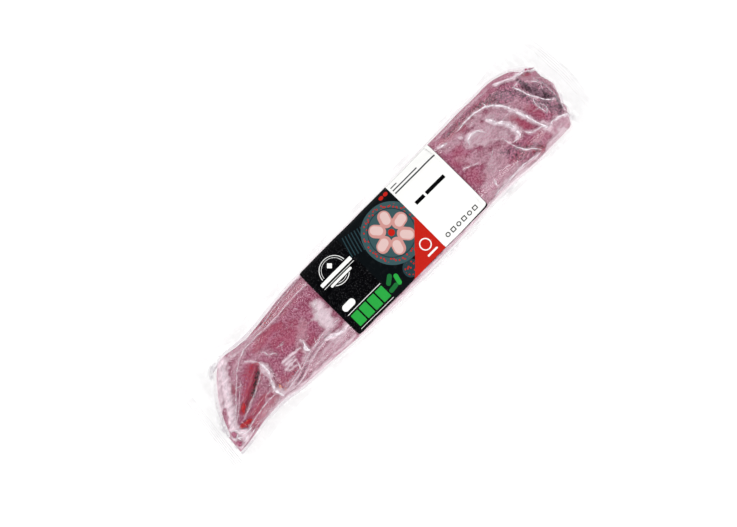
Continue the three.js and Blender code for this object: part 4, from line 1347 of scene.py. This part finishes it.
def crease_group():
    """Sweeps a pinched ridge along paths, as wide as they say, and leaning as they say."""
    inputs = {"Paths": "Geometry", "Height Share": 0.5, "Points Round": 10, "Film": "Material"}
    outputs = {"Creases": "Geometry"}
    group, tree, given, made = new_group("pinched_crease", inputs, outputs, "GeometryNodeTree")

    def named(name):
        return tree.add("GeometryNodeInputNamedAttribute", {"Name": name}, data_type="FLOAT").outputs[0]

    path = tree.add("GeometryNodeMeshToCurve", {"Mesh": given["Paths"]}).outputs[0]
    path = tree.add("GeometryNodeSetCurveNormal", {"Curve": path}, mode="Z_UP").outputs[0]
    path = tree.add("GeometryNodeSetCurveTilt", {"Curve": path, "Tilt": named("lean")}).outputs[0]
    ring = tree.add("GeometryNodeCurvePrimitiveCircle", {"Resolution": given["Points Round"]}).outputs[0]
    place = tree.add("GeometryNodeInputPosition").outputs[0]
    sides = tree.add("ShaderNodeSeparateXYZ", {0: place}).outputs
    pinched = tree.times(sides["Y"], tree.math("ABSOLUTE", sides["Y"]))
    pinched = tree.times(pinched, given["Height Share"])
    shape = tree.add("ShaderNodeCombineXYZ", {0: sides["X"], 1: pinched}).outputs[0]
    sockets = {"Geometry": ring, "Name": "across", "Value": sides["X"]}
    ring = tree.add("GeometryNodeStoreNamedAttribute", sockets, data_type="FLOAT").outputs[0]
    ring = tree.add("GeometryNodeSetPosition", {"Geometry": ring, "Position": shape}).outputs[0]
    sockets = {"Curve": path, "Profile Curve": ring, "Scale": named("half_width"), "Fill Caps": True}
    swept = tree.add("GeometryNodeCurveToMesh", sockets).outputs[0]
    swept = tree.add("GeometryNodeRealizeInstances", {"Geometry": swept}).outputs[0]
    sockets = {"Geometry": swept, "Material": given["Film"]}
    tree.feed(made["Creases"], tree.add("GeometryNodeSetMaterial", sockets).outputs[0])
    return group


def bead_group():
    """Strews flattened beads along paths."""
    inputs = {
        "Paths": "Geometry", "Spacing": 0.002, "Least Radius": 0.0003, "Greatest Radius": 0.0008,
        "Seed": 1, "Juice": "Material",
    }
    outputs = {"Beads": "Geometry"}
    group, tree, given, made = new_group("juice_beads", inputs, outputs, "GeometryNodeTree")
    path = tree.add("GeometryNodeMeshToCurve", {"Mesh": given["Paths"]}).outputs[0]
    sockets = {"Curve": path, "Length": given["Spacing"]}
    points = tree.add("GeometryNodeCurveToPoints", sockets, mode="LENGTH").outputs[0]
    # Sockets 2 and 3 are the least and the greatest of a random number, and output 1 is that number
    sockets = {2: given["Least Radius"], 3: given["Greatest Radius"], "Seed": given["Seed"]}
    radius = tree.add("FunctionNodeRandomValue", sockets, data_type="FLOAT").outputs[1]
    flat = tree.add("ShaderNodeCombineXYZ", {0: radius, 1: radius, 2: tree.times(radius, 0.6)})
    ball = tree.add("GeometryNodeMeshIcoSphere", {"Radius": 1.0, "Subdivisions": 2}).outputs[0]
    sockets = {"Points": points, "Instance": ball, "Scale": flat.outputs[0]}
    beads = tree.add("GeometryNodeInstanceOnPoints", sockets).outputs[0]
    beads = tree.add("GeometryNodeRealizeInstances", {"Geometry": beads}).outputs[0]
    sockets = {"Geometry": beads, "Material": given["Juice"]}
    tree.feed(made["Beads"], tree.add("GeometryNodeSetMaterial", sockets).outputs[0])
    return group


def grow(thing, group, **settings):
    """Turns an object of bare paths into the plain mesh that a geometry group makes of them."""
    modifier = thing.modifiers.new(group.name, "NODES")
    modifier.node_group = group
    for item in group.interface.items_tree:
        setting = item.name.replace(" ", "_")
        if item.in_out == "INPUT" and setting in settings:
            modifier[item.identifier] = settings[setting]
    evaluated = thing.evaluated_get(bpy.context.evaluated_depsgraph_get())
    mesh = bpy.data.meshes.new_from_object(evaluated)
    thing.modifiers.clear()
    thing.data = mesh
    mesh.name = thing.name
    mesh.shade_smooth()
    return thing


# A path over the film: its points, and at each of them half its width, how milky it is, how far it
# leans and how far along it lies
Path = namedtuple("Path", "points half_width haze lean along")


def path_on(surface, curve, sink, haze, seed, wobble=1.0):
    """A path along a curve over the film, with a slightly uneven course and width."""
    length = np.concatenate([[0], np.cumsum(np.hypot(*np.diff(curve[:, :2], axis=0).T))])
    count = max(4, int(length[-1] / PATH_STEP))
    at = np.linspace(0, length[-1], count)
    offset = np.random.default_rng(seed).uniform(0, 50)

    def drift(amount, wave, order):
        return amount * lumps(at + offset, 0 * at, wave, 1, seed + order)

    x, y, width = [np.interp(at, length, column) for column in curve.T]
    course = np.gradient(np.stack([x, y], -1), axis=0)
    course /= np.linalg.norm(course, axis=1, keepdims=True)
    aside = wobble * (drift(0.32, 4.0, 0) + drift(0.14, 1.5, 1))
    x = x - aside * course[:, 1]
    y = y + aside * course[:, 0]
    share = at / at[-1]
    taper = np.sqrt(np.clip(np.minimum(share, 1 - share) * length[-1] / TAPER, 0.02, 1))
    half_width = 0.5 * width * taper * (1 + drift(0.35, 2.6, 2))
    points = []
    for place in zip(x, y):
        hit, facing_out, _, _ = surface.ray_cast(Vector((*place, HIGH_ABOVE)), Vector((0, 0, -1)))
        points.append(hit - facing_out * sink if hit else Vector((*place, 0)))
    return Path(points, half_width, haze * np.ones(count), drift(0.35, 9.0, 3), at)


def path_object(name, paths, material):
    """An object of bare edges along paths, with what they say at each point as attributes."""
    points = [point * MM for path in paths for point in path.points]
    edges = []
    first = 0
    for path in paths:
        last = first + len(path.points) - 1
        edges += zip(range(first, last), range(first + 1, last + 1))
        first = last + 1
    mesh = bpy.data.meshes.new(name)
    mesh.from_pydata(points, edges, [])
    thing = new_object(name, mesh)
    for attribute in ("half_width", "haze", "lean", "along"):
        values = np.concatenate([getattr(path, attribute) for path in paths])
        set_attribute(thing, attribute, values * MM if attribute == "half_width" else values)
    mesh.materials.append(material)
    return thing


def small_creases():
    """Short creases strewn over the film, mostly lengthwise, and thicker towards both ends."""
    rng = np.random.default_rng(SMALL_CREASE_SEED)
    made = []
    while len(made) < SMALL_CREASES:
        x = rng.uniform(TAIL_TIP + TIP_GAP, HEAD_TIP - TIP_GAP)
        y = rng.uniform(*SMALL_CREASE_SIDES)
        if LABEL_START - LABEL_DISTANCE < x < LABEL_END + LABEL_DISTANCE:
            continue
        section = section_at(x)
        if not section.near + SIDE_GAP < y < section.far - SIDE_GAP:
            continue
        length = rng.uniform(*SMALL_CREASE_LENGTHS)
        turn = rng.normal(0, TURN_SPREAD) + (rng.random() < CROSSWISE_SHARE) * CROSSWISE_TURN
        bend = rng.normal(0, BEND_SPREAD) * length
        step = np.array([math.cos(turn), math.sin(turn)]) * length / 2
        side = np.array([-step[1], step[0]]) * bend / length
        middle = np.array([x, y])
        width = rng.uniform(*SMALL_CREASE_WIDTHS)
        made.append([(*place, width) for place in (middle - step, middle + side, middle + step)])
    return made


def seal_paths(surface):
    """Lines across both ends of the bag, along its cut edges, for the ribs of its heat seals."""
    y = np.linspace(-HALF_WIDTH + SEAL_SIDE, HALF_WIDTH - SEAL_SIDE, SEAL_STEPS)
    paths = []
    for side in (-1, 1):
        for number in range(SEAL_RIBS):
            x = cut_end(side * (HALF_LENGTH - SEAL_EDGE - SEAL_RIB_STEP * number) + 0 * y, y)
            curve = np.stack([x, y, SEAL_RIB_WIDTH + 0 * y], -1)
            seed = SEAL_PATH_SEED + PATH_SEEDS * number
            paths.append(path_on(surface, curve, RIB_SINK, SEAL_HAZE, seed, wobble=0))
    return paths


def surface_of(thing):
    """An object's surface in millimetres, on which places can be found from above."""
    points = [vertex.co / MM for vertex in thing.data.vertices]
    return BVHTree.FromPolygons(points, [face.vertices for face in thing.data.polygons])


def make_creases(surface, group, material):
    """The film's pinched creases, each a thin ridge that lies on the film."""
    paths = []
    for number, crease in enumerate(CREASES.values()):
        curve = curve_through(crease.through) * (1, 1, CREASE_CORE)
        curve[:, 2] = np.minimum(curve[:, 2], WIDEST_CORE)
        paths.append(path_on(surface, curve, CREASE_SINK, crease.haze, PATH_SEEDS * number))
    for number, through in enumerate(small_creases()):
        haze = mix(*SMALL_CREASE_HAZE, (number * GOLDEN_SHARE) % 1)
        seed = STREWN_PATH_SEED + PATH_SEEDS * number
        paths.append(path_on(surface, curve_through(through), SMALL_CREASE_SINK, haze, seed))
    creases = path_object("film_creases", paths, material)
    return grow(creases, group, Height_Share=CREASE_HEIGHT_SHARE, Points_Round=10, Film=material)


def make_swept(name, surface, group, material, stains, height_share):
    """Flat lens shapes under the film, along places with widths. Their strength is kept as haze."""
    paths = []
    for number, stain in enumerate(stains):
        seed = SWEPT_PATH_SEED + PATH_SEEDS * number
        paths.append(path_on(surface, curve_through(stain.through), SWEPT_SINK, stain.strength, seed))
    thing = path_object(name, paths, material)
    return grow(thing, group, Height_Share=height_share, Points_Round=12, Film=material)


def make_beads(surface, group, material):
    """Small beads of juice on the film, in rows of uneven size."""
    paths = []
    for number, through in enumerate(BEADED):
        paths.append(path_on(surface, curve_through(through), BEAD_SINK, 0, BEAD_PATH_SEED + number))
    beads = path_object("juice_beads", paths, material)
    return grow(
        beads, group, Spacing=BEAD_SPACING * MM, Least_Radius=LEAST_BEAD * MM,
        Greatest_Radius=GREATEST_BEAD * MM, Seed=BEAD_SEED, Juice=material)


def make_seals(surface, group, material):
    """The ribs that the heat seals press into both ends of the bag."""
    seals = path_object("seal_ribs", seal_paths(surface), material)
    return grow(seals, group, Height_Share=CREASE_HEIGHT_SHARE, Points_Round=6, Film=material)


def label_sheet():
    """The label's outer face as a grid from its far to its near side, and lengths across it."""
    turn = np.linspace(0, np.pi / 2, CORNER_STEPS)
    corner = LABEL_CORNER * (1 - np.cos(turn))
    cut = LABEL_CORNER * (1 - np.sin(turn))
    flat = np.linspace(LABEL_START + LABEL_CORNER, LABEL_END - LABEL_CORNER, LABEL_STEPS)[1:-1]
    x = np.concatenate([LABEL_START + corner, flat, LABEL_END - corner[::-1]])[:, None]
    inset = np.concatenate([cut, 0 * flat, cut[::-1]])[:, None]
    section = section_at(x)
    share = np.linspace(-1, 1, LABEL_ACROSS + 1)
    rim = np.abs(np.where(share < 0, angle_at(section, LABEL_FAR), angle_at(section, LABEL_NEAR)))
    angle = dome_angle(share, RIM_ANGLE) * rim / RIM_ANGLE
    y, z = on_dome(section, angle)
    run = np.cumsum(np.hypot(np.diff(y), np.diff(z)), axis=1)
    run = np.hstack([np.zeros_like(x), run])
    width = run[len(x) // 2, -1]
    # The rounded corners: each row keeps its places between insets of its own length
    for row in np.nonzero(inset[:, 0] > 0)[0]:
        wanted = np.linspace(inset[row, 0], run[row, -1] - inset[row, 0], len(share))
        y[row] = np.interp(wanted, run[row], y[row])
        z[row] = np.interp(wanted, run[row], z[row])
        run[row] = wanted
    flat_x = np.broadcast_to(x, y.shape)
    grid = np.stack([flat_x, y, z + FILM_THICKNESS / 2], -1)
    return grid, run / run.max(), width


def make_label():
    """The label, a thin sheet over the film, with its print."""
    grid, run, width = label_sheet()
    length = LABEL_END - LABEL_START
    middle = len(grid) // 2
    # The shapes' places are those seen in the photograph, where high places look further away
    above = grid[middle, ::-1, 2] - VIEW_MIDDLE.z
    y_seen = grid[middle, ::-1, 1] * (1 + above / VIEW_DISTANCE) + above * math.tan(VIEW_TILT)
    from_near = (1 - run[middle, ::-1]) * width
    nearer = 1 + above.max() / VIEW_DISTANCE

    def across_at(y):
        """The place's distance from the label's near side, which goes on evenly past both sides."""
        return float(np.interp(y, y_seen, from_near)) + min(y - y_seen[0], 0) + max(y - y_seen[-1], 0)

    def along_at(x):
        """The place along the pack of what is seen at x."""
        return VIEW_MIDDLE.x + (x - VIEW_MIDDLE.x) / nearer

    out = facing(grid)
    lift = unevenness(grid[..., 0], grid[..., 1])[..., None] + LABEL_GAP
    face = grid + out * (lift + LABEL_THICKNESS)
    back = (grid + out * lift)[:, ::-1]
    ring = np.concatenate([face, back], axis=1)
    along = (grid[..., 0] - LABEL_START) / length
    uv = np.stack([along, 1 - run], -1)
    uv = np.concatenate([uv, uv[:, ::-1]], axis=1).reshape(-1, 2)
    material = label_material(length, width, along_at, across_at)
    return mesh_object("printed_label", ring.reshape(-1, 3), closed_faces(ring), material, uv)


def make_camera():
    """The photograph's view."""
    camera = new_object("camera", bpy.data.cameras.new("camera"))
    camera.data.lens = LENS
    camera.data.sensor_width = SENSOR
    camera.data.clip_end = 20
    back = Vector((0, -math.sin(VIEW_TILT), math.cos(VIEW_TILT)))
    right = UP_IN_VIEW.cross(back).normalized()
    up = back.cross(right)
    turned = Matrix((right, up, back)).transposed().to_4x4()
    camera.matrix_world = Matrix.Translation((VIEW_MIDDLE + back * VIEW_DISTANCE) * MM) @ turned
    bpy.context.scene.camera = camera


# A soft box: where it hangs, its two sides in millimetres and how bright its face is
SoftBox = namedtuple("SoftBox", "name place sides brightness")
SOFT_BOXES = [
    SoftBox("far_box", (-200, 1000, 800), (1400, 480), 3.8),
    SoftBox("near_box", (150, -1050, 700), (1400, 480), 4.4),
    SoftBox("head_box", (1200, 150, 700), (420, 800), 4.8),
    SoftBox("tail_box", (-1200, -100, 700), (420, 800), 4.8),
]
ZENITH_BRIGHTNESS = 0.3
HORIZON_BRIGHTNESS = 1.3


def make_lights():
    """Soft boxes round the pack and a white room, and plain colours in the picture."""
    for box in SOFT_BOXES:
        lamp = bpy.data.lights.new(box.name, "AREA")
        lamp.shape = "RECTANGLE"
        lamp.size = box.sides[0] * MM
        lamp.size_y = box.sides[1] * MM
        lamp.energy = box.brightness * math.pi * lamp.size * lamp.size_y
        light = new_object(box.name, lamp)
        light.location = Vector(box.place) * MM
        light.rotation_euler = light.location.to_track_quat("Z", "Y").to_euler()
        light.visible_camera = False
    # A white room that darkens overhead, where the camera hangs
    world = bpy.data.worlds.new("white_room")
    world.use_nodes = True
    tree = Tree(world.node_tree)
    outwards = tree.add("ShaderNodeTexCoord").outputs["Generated"]
    height = tree.add("ShaderNodeSeparateXYZ", {0: outwards}).outputs["Z"]
    low = tree.minus(1.0, tree.times(height, height))
    glow = tree.times(low, HORIZON_BRIGHTNESS - ZENITH_BRIGHTNESS)
    background = world.node_tree.nodes["Background"].inputs
    background["Color"].default_value = (1, 1, 1, 1)
    tree.feed(background["Strength"], tree.plus(glow, ZENITH_BRIGHTNESS))
    bpy.context.scene.world = world
    bpy.context.scene.view_settings.view_transform = "Standard"


def make_floor():
    """The white table that the pack lies on."""
    reach = 4000
    corners = [(-reach, -reach, 0), (reach, -reach, 0), (reach, reach, 0), (-reach, reach, 0)]
    floor = mesh_object("floor", corners, [(0, 1, 2, 3)], floor_material())


make_camera()
make_lights()
make_floor()

film = make_film(film_material())
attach(film, "root")
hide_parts("sealed_bag")

surface = surface_of(film)
pinched = crease_group()
pinched_film = pinched_material()
creases = make_creases(surface, pinched, pinched_film)
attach(creases, "root")

seals = make_seals(surface, pinched, pinched_film)
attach(seals, "root")

pork = meat_material()
meat = make_meat(pork)
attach(meat, "root")

shreds = make_swept("tip_shreds", surface, pinched, pork, SHREDS, CREASE_HEIGHT_SHARE)
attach(shreds, "root")

red_juice = juice_material()
juice = make_swept("caught_juice", surface, pinched, red_juice, JUICE, JUICE_HEIGHT_SHARE)
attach(juice, "root")

beads = make_beads(surface, bead_group(), red_juice)
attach(beads, "root")

label = make_label()
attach(label, "root")
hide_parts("label")
